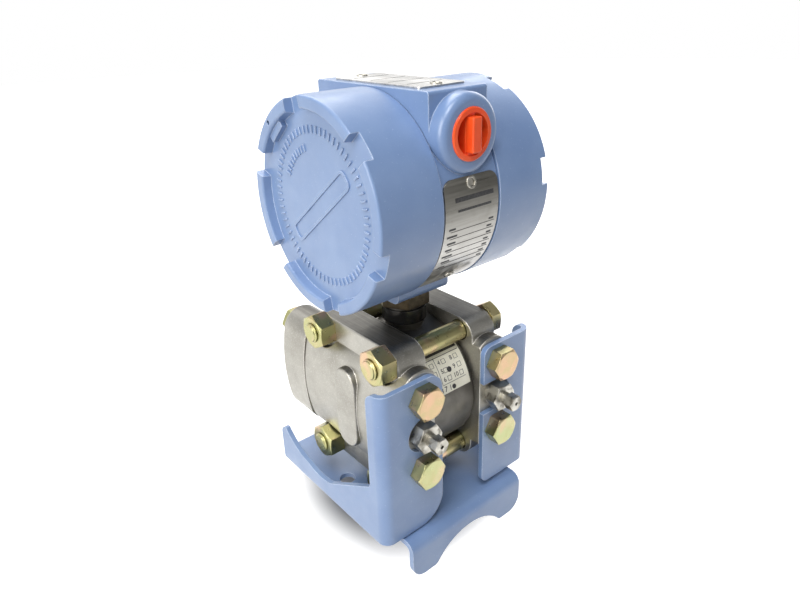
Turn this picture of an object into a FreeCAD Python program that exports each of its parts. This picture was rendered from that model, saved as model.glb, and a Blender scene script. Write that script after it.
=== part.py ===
import FreeCAD, Part
import math
import os

import Sketcher

# Differential pressure transmitter, in millimetres.
# The origin lies midway between the two U-bolt holes, on the underside of the bracket's base.
# X runs along the electronics housing, -Y is the side with the vent valves, Z is up.

os.makedirs("parts", exist_ok=True)
doc = FreeCAD.newDocument("pressure_transmitter")
sheet = doc.addObject("Spreadsheet::Sheet", "Sizes")

# Driving sizes
SIZES = {
    # where the cell and the housing sit above the base
    "cell_forward": 14.0,
    "cell_height": 62.5,
    # process pattern of this class of instrument
    "process_pitch": 54.0,
    "stud_pitch": 41.3,
    # pressure cell
    "cell_bolt_gap": 0.6,
    "cell_half": 16.5,
    "cell_edge": 1.2,
    "diaphragm_radius": 24.0,
    "diaphragm_step": 0.6,
    "gasket_inner": 27.0,
    "gasket_outer": 31.0,
    "gasket_depth": 1.7,
    "neck_radius": 10.5,
    "neck_engagement": 12.5,
    "neck_bore": 3.5,
    "label_gauge": 0.15,
    "skin_gap": 0.02,
    "label_from": -14.0,
    "label_to": 14.0,
    "label_sweep": 39.5,
    "label_start": 36.0,
    # process flanges
    "bar_gauge": 17.5,
    "bar_side_margin": 9.8,
    "bar_top_margin": 7.4,
    "bar_corner": 10.0,
    "boss_half_depth": 41.6,
    "boss_margin": 13.35,
    "boss_reach": 25.1,
    "boss_crown": 90.8,
    "boss_corner": 13.3,
    "pad_half_width": 9.5,
    "pad_half_height": 24.5,
    "pad_rise": 1.2,
    "pad_taper": 3.0,
    "flange_blend": 1.2,
    "cavity_radius": 25.0,
    "cavity_depth": 1.5,
    "port_radius": 4.5,
    "vent_tap_radius": 6.7,
    "vent_tap_depth": 12.0,
    # main bolts, 7/16 inch
    "main_pitch_across": 51.4,
    "main_pitch_up": 71.6,
    "bolt_radius": 5.4,
    "bolt_clearance": 0.5,
    "thread_clearance": 0.05,
    "head_flats": 15.9,
    "head_depth": 7.1,
    "nut_flats": 17.5,
    "nut_depth": 9.5,
    "bolt_end": 1.7,
    "bolt_point": 0.9,
    "spotface_radius": 10.6,
    "stud_depth": 15.0,
    # process adapters
    "adapter_depth": 24.4,
    "adapter_lobe": 12.6,
    "adapter_barrel": 14.8,
    "adapter_blend": 3.0,
    "adapter_thread_radius": 9.9,
    "adapter_thread_depth": 17.0,
    "adapter_bore": 5.0,
    "adapter_ring_radius": 8.5,
    "adapter_ring_wire": 1.3,
    # vent valves
    "vent_collar_radius": 6.9,
    "vent_collar_depth": 2.4,
    "vent_flats": 14.2,
    "vent_hex_depth": 6.4,
    "vent_bore": 3.4,
    "vent_stem_clearance": 0.05,
    "vent_stem_reach": 14.0,
    "vent_stem_out": 2.8,
    "vent_outlet": 1.0,
    "vent_head_flats": 7.9,
    "vent_head_depth": 5.2,
    # bracket
    "gauge": 3.0,
    "bend": 3.0,
    "bracket_half_width": 53.5,
    "base_front": 51.5,
    "base_back": 67.0,
    "wall_back": 55.0,
    "ear_top": 31.3,
    "arm_corner": 6.0,
    "ear_gap_left": 1.5,
    "ear_gap_right": 3.5,
    "ear_left_edge": 13.8,
    "ear_right_edge": 16.5,
    "ear_top_corner": 9.0,
    "ear_bottom_corner": 15.0,
    "ear_small_corner": 5.0,
    "slot_half": 9.5,
    "arm_width": 11.0,
    "arm_foot": 25.0,
    "dip_near": 4.0,
    "dip_far": 26.0,
    "dip_depth": 48.0,
    "dip_near_rise": 1.0,
    "dip_far_rise": 1.5,
    "dip_curve": 32.0,
    "tail_curve": 38.0,
    "tail_corner": 5.0,
    "foot_curve": 4.0,
    "foot_curve_in": 2.5,
    "foot_curve_above": 3.0,
    "foot_curve_below": 1.2,
    "relief_radius": 2.0,
    "tail_height": 34.5,
    "lip_half_width": 41.5,
    "lip_drop": 20.0,
    "lip_corner": 9.0,
    "pipe_radius": 30.5,
    "saddle_rise": 12.5,
    "ubolt_pitch": 71.4,
    "ubolt_hole": 4.5,
    "saddle_round": 4.0,
    # neck
    "lock_nut_flats": 25.0,
    "lock_nut_depth": 7.0,
    "lock_nut_top": 57.3,
    "neck_ring_from": 41.0,
    "neck_ring_wall": 1.6,
    "neck_ring_depth": 7.5,
    # housing body
    "body_radius": 49.6,
    "body_half": 17.5,
    "spigot_step": 5.6,
    "spigot_length": 12.0,
    "chamber_wall": 6.0,
    "web_from": 11.5,
    "web_to": 15.0,
    "block_inset": 8.6,
    "block_rise": 1.9,
    "block_bottom": 14.0,
    "block_edge": 1.5,
    "foot_edge": 4.0,
    "conduit_below_top": 18.8,
    "conduit_radius": 17.6,
    "conduit_reach": 8.0,
    "conduit_edge": 3.5,
    "conduit_thread_radius": 10.6,
    "conduit_depth": 34.0,
    "foot_half_x": 17.0,
    "foot_half_y": 16.5,
    "foot_reach": 5.2,
    "foot_gap": 0.2,
    "wire_way": 5.0,
    # covers
    "cover_lap": 1.2,
    "cover_end": 52.8,
    "cover_gap": 0.4,
    "cover_thread_gap": 0.05,
    "cover_wall": 4.0,
    "cover_ring_wire": 1.2,
    "cover_ring_seat": 3.0,
    "ring_gap": 0.05,
    "lug_height": 4.8,
    "lug_width": 6.0,
    "notch_angle": 14.5,
    "notch_first": 348.0,
    "notch_offset": 33.0,
    "lock_hole": 1.2,
    "lug_slope": 0.8,
    "lock_boss_half": 6.5,
    "lock_boss_width": 4.0,
    "lock_boss_height": 3.0,
    "cover_blend": 1.2,
    # conduit plug
    "plug_rim_radius": 11.7,
    "plug_rim_depth": 0.9,
    "plug_gap": 0.08,
    "plug_wall": 1.3,
    "plug_depth": 12.0,
    "plug_bar_half": 2.9,
    "plug_bar_edge": 1.0,
    "plug_edge": 0.5,
    "plug_draft": 0.8,
    # plates
    "plate_gauge": 0.8,
    "plate_half_width": 16.8,
    "plate_top_angle": 17.0,
    "plate_sweep": 73.0,
    "plate_corner": 5.0,
    "plate_screw_radius": 1.6,
    "plate_screw_gap": 0.1,
    "plate_screw_length": 5.0,
    "plate_screw_cap": 1.2,
    "plate_screw_head": 2.9,
    "plate_screw_up": 13.5,
    "plate_screw_down": 46.0,
    "top_plate_half_x": 14.0,
    "top_plate_half_y": 32.0,
    "top_plate_corner": 2.5,
    "top_screw_at": 27.0,
    # inside
    "terminal_half_width": 22.0,
    "terminal_half_height": 11.0,
    "terminal_depth": 12.0,
    "terminal_drop": 8.0,
    "terminal_wall": 2.0,
    "terminal_pitch": 10.0,
    "terminal_screw_radius": 2.0,
    "terminal_head_radius": 3.4,
    "terminal_head": 2.0,
    "terminal_screw_length": 6.0,
    "terminal_well": 4.0,
    "board_gap": 4.0,
    "board_gauge": 1.6,
    "board_first": 8.0,
    "board_pitch": 9.0,
    "standoff_radius": 2.5,
    "standoff_pin": 1.5,
    "standoff_end": 1.0,
    "standoff_inset": 7.0,
}
# End of the driving sizes

for row, (alias, number) in enumerate(SIZES.items(), start=1):
    sheet.set(f"A{row}", alias)
    sheet.set(f"B{row}", str(number))
    sheet.setAlias(f"B{row}", alias)
doc.recompute()


class Size:
    """A length worked out from the sheet: its number, and the words that a property is bound to."""

    def __init__(self, text, number):
        self.text = text
        self.number = number

    def __float__(self):
        return float(self.number)

    def __add__(self, other):
        return Size(f"({self.text} + {words(other)})", self.number + float(other))

    def __sub__(self, other):
        return Size(f"({self.text} - {words(other)})", self.number - float(other))

    def __mul__(self, other):
        return Size(f"({self.text} * {words(other)})", self.number * float(other))

    def __truediv__(self, other):
        return Size(f"({self.text} / {words(other)})", self.number / float(other))

    def __radd__(self, other):
        return Size(f"({words(other)} + {self.text})", float(other) + self.number)

    def __rsub__(self, other):
        return Size(f"({words(other)} - {self.text})", float(other) - self.number)

    def __rmul__(self, other):
        return self * other

    def __neg__(self):
        return self * -1


def words(value):
    return value.text if isinstance(value, Size) else repr(float(value))


def root(value):
    return Size(f"sqrt({words(value)})", math.sqrt(float(value)))


class Sheet:
    """The sheet's aliases as sizes."""

    def __getattr__(self, alias):
        return Size(f"Sizes.{alias}", SIZES[alias])


s = Sheet()
LEFT, RIGHT = -1, 1
SIDES = {"left": LEFT, "right": RIGHT}
subparts = []


def bind(thing, **values):
    for name, value in values.items():
        if isinstance(value, Size):
            thing.setExpression(name, value.text)
        else:
            setattr(thing, name, value)


def place(thing, at=(0, 0, 0), turn=None):
    """Sets a placement, with each coordinate bound to the sheet."""
    placement = FreeCAD.Placement()
    if turn:
        placement.Rotation = FreeCAD.Rotation(FreeCAD.Vector(*turn[0]), turn[1])
    placement.Base = FreeCAD.Vector(*[float(value) for value in at])
    thing.Placement = placement
    for axis, value in zip("xyz", at):
        if isinstance(value, Size):
            thing.setExpression(f"Placement.Base.{axis}", value.text)
    return thing


def keep(thing, label, at=None):
    """Names a finished sub-part and puts it in the transmitter's frame."""
    thing.Label = label
    place(thing, at or CELL)
    subparts.append(thing)
    return thing


# Sizes that follow from the driving ones
cell_radius = (root(s.main_pitch_across * s.main_pitch_across + s.main_pitch_up * s.main_pitch_up) / 2
               - s.bolt_radius - s.cell_bolt_gap)
bar_half_width = s.main_pitch_across / 2 + s.bar_side_margin
bar_half_height = s.main_pitch_up / 2 + s.bar_top_margin
boss_half_height = s.stud_pitch / 2 + s.boss_margin
spigot_radius = s.body_radius - s.spigot_step
chamber_radius = spigot_radius - s.chamber_wall
cover_radius = s.body_radius + s.cover_lap
block_half = s.body_radius - s.block_inset
block_top = s.body_radius + s.block_rise
conduit_height = block_top - s.conduit_below_top
conduit_face = block_half + s.conduit_reach
foot_drop = s.body_radius + s.foot_reach
housing_height = s.lock_nut_top + s.foot_gap + foot_drop
neck_top = s.lock_nut_top + s.foot_gap + s.neck_engagement
board_radius = chamber_radius - s.board_gap
standoff_at = board_radius - s.standoff_inset

# Where the pressure cell and the housing have their own origins
CELL = (0, -s.cell_forward, s.cell_height)
HOUSING = (0, -s.cell_forward, s.cell_height + housing_height)

# Axes that turn a primitive's Z to the way it points
ALONG_X = ((0, 1, 0), 90)
ALONG_Y = ((1, 0, 0), -90)
BACK_X = ((0, 1, 0), -90)
BACK_Y = ((1, 0, 0), 90)


def cylinder(radius, height, at=(0, 0, 0), turn=None):
    thing = doc.addObject("Part::Cylinder", "Cylinder")
    bind(thing, Radius=radius, Height=height)
    return place(thing, at, turn)


def box(length, width, height, at):
    thing = doc.addObject("Part::Box", "Box")
    bind(thing, Length=length, Width=width, Height=height)
    return place(thing, at)


def cone(first, second, height, at, turn=None):
    thing = doc.addObject("Part::Cone", "Cone")
    bind(thing, Radius1=first, Radius2=second, Height=height)
    return place(thing, at, turn)


def hexagon(flats, height, at, turn=None):
    """A hexagonal prism, measured across its flats."""
    thing = doc.addObject("Part::Prism", "Hexagon")
    thing.Polygon = 6
    bind(thing, Circumradius=flats / math.sqrt(3), Height=height)
    return place(thing, at, turn)


def fuse(*things):
    thing = doc.addObject("Part::MultiFuse", "Fuse")
    thing.Shapes = list(things)
    thing.Refine = True
    return thing


def cut(base, tool):
    thing = doc.addObject("Part::Cut", "Cut")
    thing.Base = base
    thing.Tool = tool
    return thing


def common(*things):
    thing = doc.addObject("Part::MultiCommon", "Common")
    thing.Shapes = list(things)
    return thing


def sleeve(outer, inner, length, at, turn=None):
    """A plain ring of square section."""
    return cut(cylinder(outer, length, at, turn), cylinder(inner, length, at, turn))


def group(things):
    """Identical fasteners that share one node, each a solid of its own."""
    thing = doc.addObject("Part::Compound", "Group")
    thing.Links = list(things)
    return thing


# Helpers for bodies made from sketches

PLANES = {"XY": "XY_Plane", "XZ": "XZ_Plane", "YZ": "YZ_Plane"}


def new_body():
    return doc.addObject("PartDesign::Body", "Body")


def origin_plane(body, plane):
    for feature in body.Origin.OriginFeatures:
        if feature.Role == PLANES[plane]:
            return feature
    raise ValueError(plane)


def new_sketch(body, plane, offset=0):
    """A sketch on one of the body's own planes, moved along the plane's normal."""
    sketch = body.newObject("Sketcher::SketchObject", "Sketch")
    sketch.AttachmentSupport = [(origin_plane(body, plane), "")]
    sketch.MapMode = "FlatFace"
    sketch.AttachmentOffset = FreeCAD.Placement(FreeCAD.Vector(0, 0, float(offset)), FreeCAD.Rotation())
    if isinstance(offset, Size):
        sketch.setExpression("AttachmentOffset.Base.z", offset.text)
    return sketch


def pin_point(sketch, geometry, end, at):
    """Fixes one point of the sketch by its two coordinates, bound to the sheet."""
    for kind, value in zip(("DistanceX", "DistanceY"), at):
        index = sketch.addConstraint(Sketcher.Constraint(kind, geometry, end, float(value)))
        if isinstance(value, Size):
            sketch.setExpression(f"Constraints[{index}]", value.text)


def arc_between(first, last, radius):
    """An arc that turns anticlockwise for a positive radius and clockwise for a negative one."""
    (x1, y1), (x2, y2) = [[float(value) for value in point] for point in (first, last)]
    reach = abs(float(radius))
    half = math.hypot(x2 - x1, y2 - y1) / 2
    away = math.sqrt(max(reach * reach - half * half, 0.0))
    side = 1 if float(radius) > 0 else -1
    centre_x = (x1 + x2) / 2 - side * away * (y2 - y1) / (2 * half)
    centre_y = (y1 + y2) / 2 + side * away * (x2 - x1) / (2 * half)
    centre = FreeCAD.Vector(centre_x, centre_y, 0)
    circle = Part.Circle(centre, FreeCAD.Vector(0, 0, 1), reach)
    start = math.atan2(y1 - centre_y, x1 - centre_x)
    stop = math.atan2(y2 - centre_y, x2 - centre_x)
    if side < 0:
        start, stop = stop, start
    return Part.ArcOfCircle(circle, start, stop)


def draw_outline(sketch, points):
    """Draws a closed outline. Each point is x, y and, if an arc leads to it, that arc's radius."""
    first = sketch.GeometryCount
    count = len(points)
    ends = []
    for step in range(count):
        here, there = points[step], points[(step + 1) % count]
        if len(there) == 3:
            arc = arc_between(here[:2], there[:2], there[2])
            sketch.addGeometry(arc, False)
            ends.append((1, 2) if float(there[2]) > 0 else (2, 1))
        else:
            start = FreeCAD.Vector(float(here[0]), float(here[1]), 0)
            stop = FreeCAD.Vector(float(there[0]), float(there[1]), 0)
            sketch.addGeometry(Part.LineSegment(start, stop), False)
            ends.append((1, 2))
    for step in range(count):
        geometry = first + step
        following = first + (step + 1) % count
        joint = (geometry, ends[step][1], following, ends[(step + 1) % count][0])
        sketch.addConstraint(Sketcher.Constraint("Coincident", *joint))
    for step in range(count):
        pin_point(sketch, first + step, ends[step][0], points[step][:2])
    for step in range(count):
        there = points[(step + 1) % count]
        if len(there) == 3:
            index = sketch.addConstraint(Sketcher.Constraint("Radius", first + step, abs(float(there[2]))))
            if isinstance(there[2], Size):
                sketch.setExpression(f"Constraints[{index}]", f"abs({there[2].text})")


def draw_circle(sketch, at, radius):
    centre = FreeCAD.Vector(float(at[0]), float(at[1]), 0)
    index = sketch.addGeometry(Part.Circle(centre, FreeCAD.Vector(0, 0, 1), float(radius)), False)
    pin_point(sketch, index, 3, at)
    constraint = sketch.addConstraint(Sketcher.Constraint("Radius", index, float(radius)))
    if isinstance(radius, Size):
        sketch.setExpression(f"Constraints[{constraint}]", radius.text)


def draw_stadium(sketch, centre, radius, half_straight):
    """Two straight sides joined by round ends, each end drawn as two quarter turns."""
    x, y = centre
    draw_outline(sketch, [
        (x + radius, y - half_straight, radius),
        (x + radius, y + half_straight),
        (x, y + half_straight + radius, radius),
        (x - radius, y + half_straight, radius),
        (x - radius, y - half_straight),
        (x, y - half_straight - radius, radius),
    ])


def pad(body, sketch, length, backwards=False, middle=False):
    feature = body.newObject("PartDesign::Pad", "Pad")
    feature.Profile = sketch
    feature.Reversed = backwards
    feature.Midplane = middle
    bind(feature, Length=length)
    return feature


def pocket(body, sketch, length, backwards=False, middle=False):
    feature = body.newObject("PartDesign::Pocket", "Pocket")
    feature.Profile = sketch
    feature.Reversed = backwards
    feature.Midplane = middle
    bind(feature, Length=length)
    return feature


def revolve(body, sketch, axis, angle=360, kind="PartDesign::Revolution"):
    """Turns a sketch about its own horizontal or vertical axis."""
    feature = body.newObject(kind, "Turned")
    feature.Profile = sketch
    feature.ReferenceAxis = (sketch, [axis])
    bind(feature, Angle=angle)
    return feature


def round_edges(body, radius, chosen):
    """Rounds the edges of the body's last feature that the test picks."""
    doc.recompute()
    base = body.Tip
    names = []
    for number, edge in enumerate(base.Shape.Edges, start=1):
        if chosen(edge):
            names.append(f"Edge{number}")
    feature = body.newObject("PartDesign::Fillet", "Fillet")
    feature.Base = (base, names)
    bind(feature, Radius=radius)
    doc.recompute()
    return feature


def near(value, target):
    return abs(value - float(target)) < 0.01


def runs_along(edge, axis):
    """Whether a straight edge runs along an axis."""
    if edge.Curve.TypeId != "Part::GeomLine":
        return False
    return abs(abs(getattr(edge.Curve.Direction, axis)) - 1) < 1e-6


# Where fasteners go, shared by the pieces they join

def main_positions():
    for across in (-1, 1):
        for up in (-1, 1):
            yield s.main_pitch_across / 2 * across, s.main_pitch_up / 2 * up


def stud_positions():
    for side in (LEFT, RIGHT):
        for up in (-1, 1):
            yield s.process_pitch / 2 * side, s.stud_pitch / 2 * up


def plate_pins(radius, length, out):
    """The two pins behind the nameplate, or the holes for them, standing square to the housing's band."""
    pins = []
    for angle in (SIZES["plate_screw_up"], -SIZES["plate_screw_down"]):
        across, up = -math.cos(math.radians(angle)), math.sin(math.radians(angle))
        deep = out - length
        pins.append(cylinder(radius, length, (0, deep * across, deep * up), ((1, 0, 0), 90 - angle)))
    return pins


def top_pins(radius, length, top):
    """The two screws that hold the top plate, or the holes for them."""
    return [cylinder(radius, length, (0, s.top_screw_at * end, top - length)) for end in (-1, 1)]


# Bracket: one piece of 3 mm sheet, bent up at the sides, folded in as two ears and down as two lips

def make_bracket():
    body = new_body()
    base_top = s.gauge
    outer_bend = s.bend + s.gauge
    half = s.bracket_half_width
    inner = half - s.gauge
    ear_face = s.cell_forward + s.boss_half_depth + s.gauge
    ear_back = ear_face - s.gauge
    wall_front = ear_face - outer_bend
    ear_high = s.cell_height + s.ear_top
    ear_lows = {LEFT: base_top + s.ear_gap_left, RIGHT: base_top + s.ear_gap_right}

    # the base and the two side walls, as one channel
    channel = new_sketch(body, "XZ", wall_front)
    draw_outline(channel, [
        (-half, outer_bend),
        (-(half - outer_bend), 0, outer_bend),
        (half - outer_bend, 0),
        (half, outer_bend, outer_bend),
        (half, ear_high),
        (inner, ear_high),
        (inner, outer_bend),
        (half - outer_bend, s.gauge, -s.bend),
        (-(half - outer_bend), s.gauge),
        (-inner, outer_bend, -s.bend),
        (-inner, ear_high),
        (-half, ear_high),
    ])
    channel_depth = wall_front + s.wall_back - s.cell_forward
    pad(body, channel, channel_depth, backwards=True)

    # what is cut from the walls leaves the arms, the dip and the raised tail
    arm_back = -(ear_face - s.arm_width)
    foot = s.cell_height - s.arm_foot
    dip = s.cell_height - s.dip_depth
    tail = s.cell_height - s.tail_height
    back = s.wall_back - s.cell_forward
    side = new_sketch(body, "YZ")
    draw_outline(side, [
        (arm_back - s.arm_corner, ear_high + 5),
        (arm_back - s.arm_corner, ear_high),
        (arm_back, ear_high - s.arm_corner, -s.arm_corner),
        (arm_back, foot + s.foot_curve_above),
        (arm_back + s.foot_curve_in, foot - s.foot_curve_below, s.foot_curve),
        (s.dip_near - s.cell_forward, dip + s.dip_near_rise),
        (s.dip_far - s.cell_forward, dip + s.dip_far_rise, s.dip_curve),
        (back - s.tail_corner, tail, s.tail_curve),
        (back, tail - s.tail_corner, -s.tail_corner),
        (back + 5, tail - s.tail_corner),
        (back + 5, ear_high + 5),
    ])
    pocket(body, side, half * 2 + 10, middle=True)

    # the two ears, each folded in from the front of its arm
    for side_sign, edge in ((LEFT, s.ear_left_edge), (RIGHT, s.ear_right_edge)):
        ears = new_sketch(body, "XY", ear_lows[side_sign])
        flip = -side_sign
        draw_outline(ears, [
            (half * side_sign, -wall_front),
            ((half - outer_bend) * side_sign, -ear_face, outer_bend * flip),
            (edge * side_sign, -ear_face),
            (edge * side_sign, -ear_back),
            ((half - outer_bend) * side_sign, -ear_back),
            (inner * side_sign, -wall_front, s.bend * -flip),
        ])
        pad(body, ears, ear_high - ear_lows[side_sign])

    # corners and the open slots that clear the vent valves
    trim = new_sketch(body, "XZ", ear_face + 1)
    middle = s.cell_height
    for side_sign, edge, big in ((LEFT, s.ear_left_edge, s.ear_bottom_corner),
                                 (RIGHT, s.ear_right_edge, s.ear_small_corner)):
        inwards = edge * side_sign
        past = (edge - 3) * side_sign
        top_corner = s.ear_top_corner if side_sign == LEFT else s.ear_small_corner
        ear_low = ear_lows[side_sign]
        draw_outline(trim, [
            (past, ear_high + 3),
            (past, ear_high - top_corner),
            (inwards, ear_high - top_corner),
            ((edge + top_corner) * side_sign, ear_high, top_corner * -side_sign),
            ((edge + top_corner) * side_sign, ear_high + 3),
        ])
        draw_outline(trim, [
            (past, ear_low - 3),
            (past, ear_low + big),
            (inwards, ear_low + big),
            ((edge + big) * side_sign, ear_low, big * side_sign),
            ((edge + big) * side_sign, ear_low - 3),
        ])
        deep = s.process_pitch / 2 * side_sign
        draw_outline(trim, [
            (past, middle + s.slot_half),
            (deep, middle + s.slot_half),
            (deep + s.slot_half * side_sign, middle, s.slot_half * -side_sign),
            (deep, middle - s.slot_half, s.slot_half * -side_sign),
            (past, middle - s.slot_half),
        ])
        for up in (-1, 1):
            draw_circle(trim, (deep, middle + s.stud_pitch / 2 * up), s.bolt_radius + s.bolt_clearance)
    pocket(body, trim, s.gauge + 2)

    # the base runs on to a lip at the front and at the back, each shaped to sit on a pipe
    front = s.cell_forward + s.base_front
    rear = s.base_back - s.cell_forward
    strip = new_sketch(body, "YZ")
    draw_outline(strip, [
        (-front, -s.lip_drop),
        (-front + s.gauge, -s.lip_drop),
        (-front + s.gauge, -s.bend),
        (-front + outer_bend, 0, -s.bend),
        (rear - outer_bend, 0),
        (rear - s.gauge, -s.bend, -s.bend),
        (rear - s.gauge, -s.lip_drop),
        (rear, -s.lip_drop),
        (rear, s.gauge - outer_bend),
        (rear - outer_bend, s.gauge, outer_bend),
        (-front + outer_bend, s.gauge),
        (-front, s.gauge - outer_bend, outer_bend),
    ])
    pad(body, strip, s.lip_half_width * 2, middle=True)

    saddle = new_sketch(body, "XZ", front + 1)
    low = -s.lip_drop
    chord = root(s.pipe_radius * s.pipe_radius
                 - (s.pipe_radius - s.saddle_rise) * (s.pipe_radius - s.saddle_rise))
    draw_outline(saddle, [
        (-chord, low, s.pipe_radius),
        (-chord, low - 4),
        (chord, low - 4),
        (chord, low),
    ])
    width = s.lip_half_width
    for side_sign in (LEFT, RIGHT):
        draw_outline(saddle, [
            (width * side_sign, low + s.lip_corner),
            ((width - s.lip_corner) * side_sign, low, s.lip_corner * -side_sign),
            ((width - s.lip_corner) * side_sign, low - 4),
            ((width + 4) * side_sign, low - 4),
            ((width + 4) * side_sign, low + s.lip_corner),
        ])
    pocket(body, saddle, front + rear + 2)

    # round the feet where the saddle starts
    doc.recompute()
    round_edges(body, s.saddle_round, lambda edge: runs_along(edge, "y")
                and near(abs(edge.CenterOfMass.x), chord) and near(edge.CenterOfMass.z, low))

    # relief notches below the ears, where the ear's bend meets the wall's bend
    relief = new_sketch(body, "XY", -1)
    for side_sign in (LEFT, RIGHT):
        draw_circle(relief, ((inner + s.gauge / 6) * side_sign, -wall_front), s.relief_radius)
    pocket(body, relief, s.gauge + s.ear_gap_left + 1, backwards=True)

    # holes for the U-bolt
    holes = new_sketch(body, "XY", -1)
    for side_sign in (LEFT, RIGHT):
        draw_circle(holes, (s.ubolt_pitch / 2 * side_sign, 0), s.ubolt_hole)
    pocket(body, holes, s.gauge + 2, backwards=True)
    keep(body, "mounting_bracket", (0, 0, 0))


# Process flanges: two castings with a bar at top and bottom and a thick boss between

def make_flange(name, side):
    body = new_body()
    inner = s.cell_half
    centre = s.process_pitch / 2

    bars = new_sketch(body, "YZ", inner * side)
    width, height, corner = bar_half_width, bar_half_height, s.bar_corner
    draw_outline(bars, [
        (-(width - corner), -height, corner),
        (width - corner, -height),
        (width, -(height - corner), corner),
        (width, height - corner),
        (width - corner, height, corner),
        (-(width - corner), height),
        (-width, height - corner, corner),
        (-width, -(height - corner)),
    ])
    pad(body, bars, s.bar_gauge, backwards=side == LEFT)
    round_edges(body, s.flange_blend, lambda edge: near(edge.CenterOfMass.x, (inner + s.bar_gauge) * side))

    boss = new_sketch(body, "XZ")
    reach = inner + s.boss_reach
    tall = boss_half_height
    crown, corner = s.boss_crown, s.boss_corner
    spread = root((crown - corner) * (crown - corner) - (tall - corner) * (tall - corner))
    shoulder = reach - crown + spread
    meet_x = reach - crown + spread * crown / (crown - corner)
    meet_z = (tall - corner) * crown / (crown - corner)
    lobe_z = tall - corner + root(corner * corner - (shoulder - inner) * (shoulder - inner))
    draw_outline(boss, [
        (inner * side, lobe_z, corner * side),
        (inner * side, -lobe_z),
        (shoulder * side, -tall, corner * side),
        (meet_x * side, -meet_z, corner * side),
        (meet_x * side, meet_z, crown * side),
        (shoulder * side, tall, corner * side),
    ])
    pad(body, boss, s.boss_half_depth * 2, middle=True)
    round_edges(body, s.flange_blend, lambda edge: near(abs(edge.CenterOfMass.y), s.boss_half_depth)
                and edge.BoundBox.YLength < 0.001
                and not near(edge.CenterOfMass.x, inner * side))

    oval = new_sketch(body, "YZ", centre * side)
    half_width, half_height = s.pad_half_width, s.pad_half_height
    straight = half_height - half_width
    draw_stadium(oval, (0, 0), half_width, straight)
    rib = pad(body, oval, reach + s.pad_rise - centre, backwards=side == LEFT)
    bind(rib, TaperAngle=-s.pad_taper)
    round_edges(body, s.flange_blend, lambda edge: near(edge.CenterOfMass.x, (reach + s.pad_rise) * side))

    # the pressure chamber that the cell's diaphragm faces, and the drilling to the port
    chamber = new_sketch(body, "YZ", inner * side)
    draw_circle(chamber, (0, 0), s.cavity_radius)
    pocket(body, chamber, s.cavity_depth, backwards=side == RIGHT)
    drilling = new_sketch(body, "YZ", inner * side)
    draw_circle(drilling, (0, 0), s.port_radius / 2)
    pocket(body, drilling, centre - inner, backwards=side == RIGHT)

    # the port runs from the vent valve at the front to the adapter at the back
    port = new_sketch(body, "XZ")
    draw_circle(port, (centre * side, 0), s.port_radius)
    pocket(body, port, s.boss_half_depth * 2 + 2, middle=True)
    taps = new_sketch(body, "XZ", s.boss_half_depth)
    draw_circle(taps, (centre * side, 0), s.vent_tap_radius)
    pocket(body, taps, s.vent_tap_depth)
    for face in (-1, 1):
        studs = new_sketch(body, "XZ", s.boss_half_depth * face)
        for up in (-1, 1):
            draw_circle(studs, (centre * side, s.stud_pitch / 2 * up), s.bolt_radius + s.thread_clearance)
        pocket(body, studs, s.stud_depth + 2, backwards=face == -1)

    # the four main bolts pass straight through
    mains = new_sketch(body, "YZ", (inner - 1) * side)
    for across, up in main_positions():
        draw_circle(mains, (across, up), s.bolt_radius + s.bolt_clearance)
    pocket(body, mains, s.boss_reach + 4, backwards=side == RIGHT)
    spots = new_sketch(body, "YZ", (inner + s.bar_gauge) * side)
    for across, up in main_positions():
        draw_circle(spots, (across, up), s.spotface_radius)
    pocket(body, spots, s.boss_reach, backwards=side == RIGHT)
    keep(body, f"process_flange_{name}")


# Pressure cell: a turned capsule with a threaded neck on top

def make_cell():
    body = new_body()
    half, edge = s.cell_half, s.cell_edge
    profile = new_sketch(body, "XZ")
    right = [
        (0, cell_radius),
        (half - edge, cell_radius),
        (half, cell_radius - edge),
        (half, s.gasket_outer),
        (half - s.gasket_depth, s.gasket_outer),
        (half - s.gasket_depth, s.gasket_inner),
        (half, s.gasket_inner),
        (half, s.diaphragm_radius),
        (half - s.diaphragm_step, s.diaphragm_radius),
        (half - s.diaphragm_step, 0),
    ]
    left = [(point[0] * -1, point[1]) for point in reversed(right[1:])]
    draw_outline(profile, right + left)
    revolve(body, profile, "H_Axis")
    neck = new_sketch(body, "XY")
    draw_circle(neck, (0, 0), s.neck_radius)
    pad(body, neck, neck_top)
    bore = new_sketch(body, "XY", cell_radius)
    draw_circle(bore, (0, 0), s.neck_bore)
    pocket(body, bore, neck_top - cell_radius + 1, backwards=True)
    keep(body, "sensor_cell")

    label = new_body()
    strip = new_sketch(label, "XZ")
    under = cell_radius + s.skin_gap
    draw_outline(strip, [
        (s.label_from, under),
        (s.label_to, under),
        (s.label_to, under + s.label_gauge),
        (s.label_from, under + s.label_gauge),
    ])
    revolve(label, strip, "H_Axis", s.label_sweep)
    keep(label, "cell_label")
    label.Placement.Rotation = FreeCAD.Rotation(FreeCAD.Vector(1, 0, 0), SIZES["label_start"])


def make_gaskets():
    for name, side in SIDES.items():
        start = s.cell_half - s.gasket_depth if side == RIGHT else -s.cell_half
        ring = sleeve(s.gasket_outer, s.gasket_inner, s.gasket_depth, (start, 0, 0), ALONG_X)
        keep(ring, f"flange_gasket_{name}")


# Fasteners: hexagon heads and nuts with their corners turned off

def crowned_hexagon(flats, depth, at, turn):
    """A hexagon whose outer corners are turned to a cone, as on a forged head."""
    prism = hexagon(flats, depth, at, turn)
    slope = flats * 0.62 + depth * 1.9
    crown = cone(slope, flats * 0.475, depth, at, turn)
    return common(prism, crown)


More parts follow.
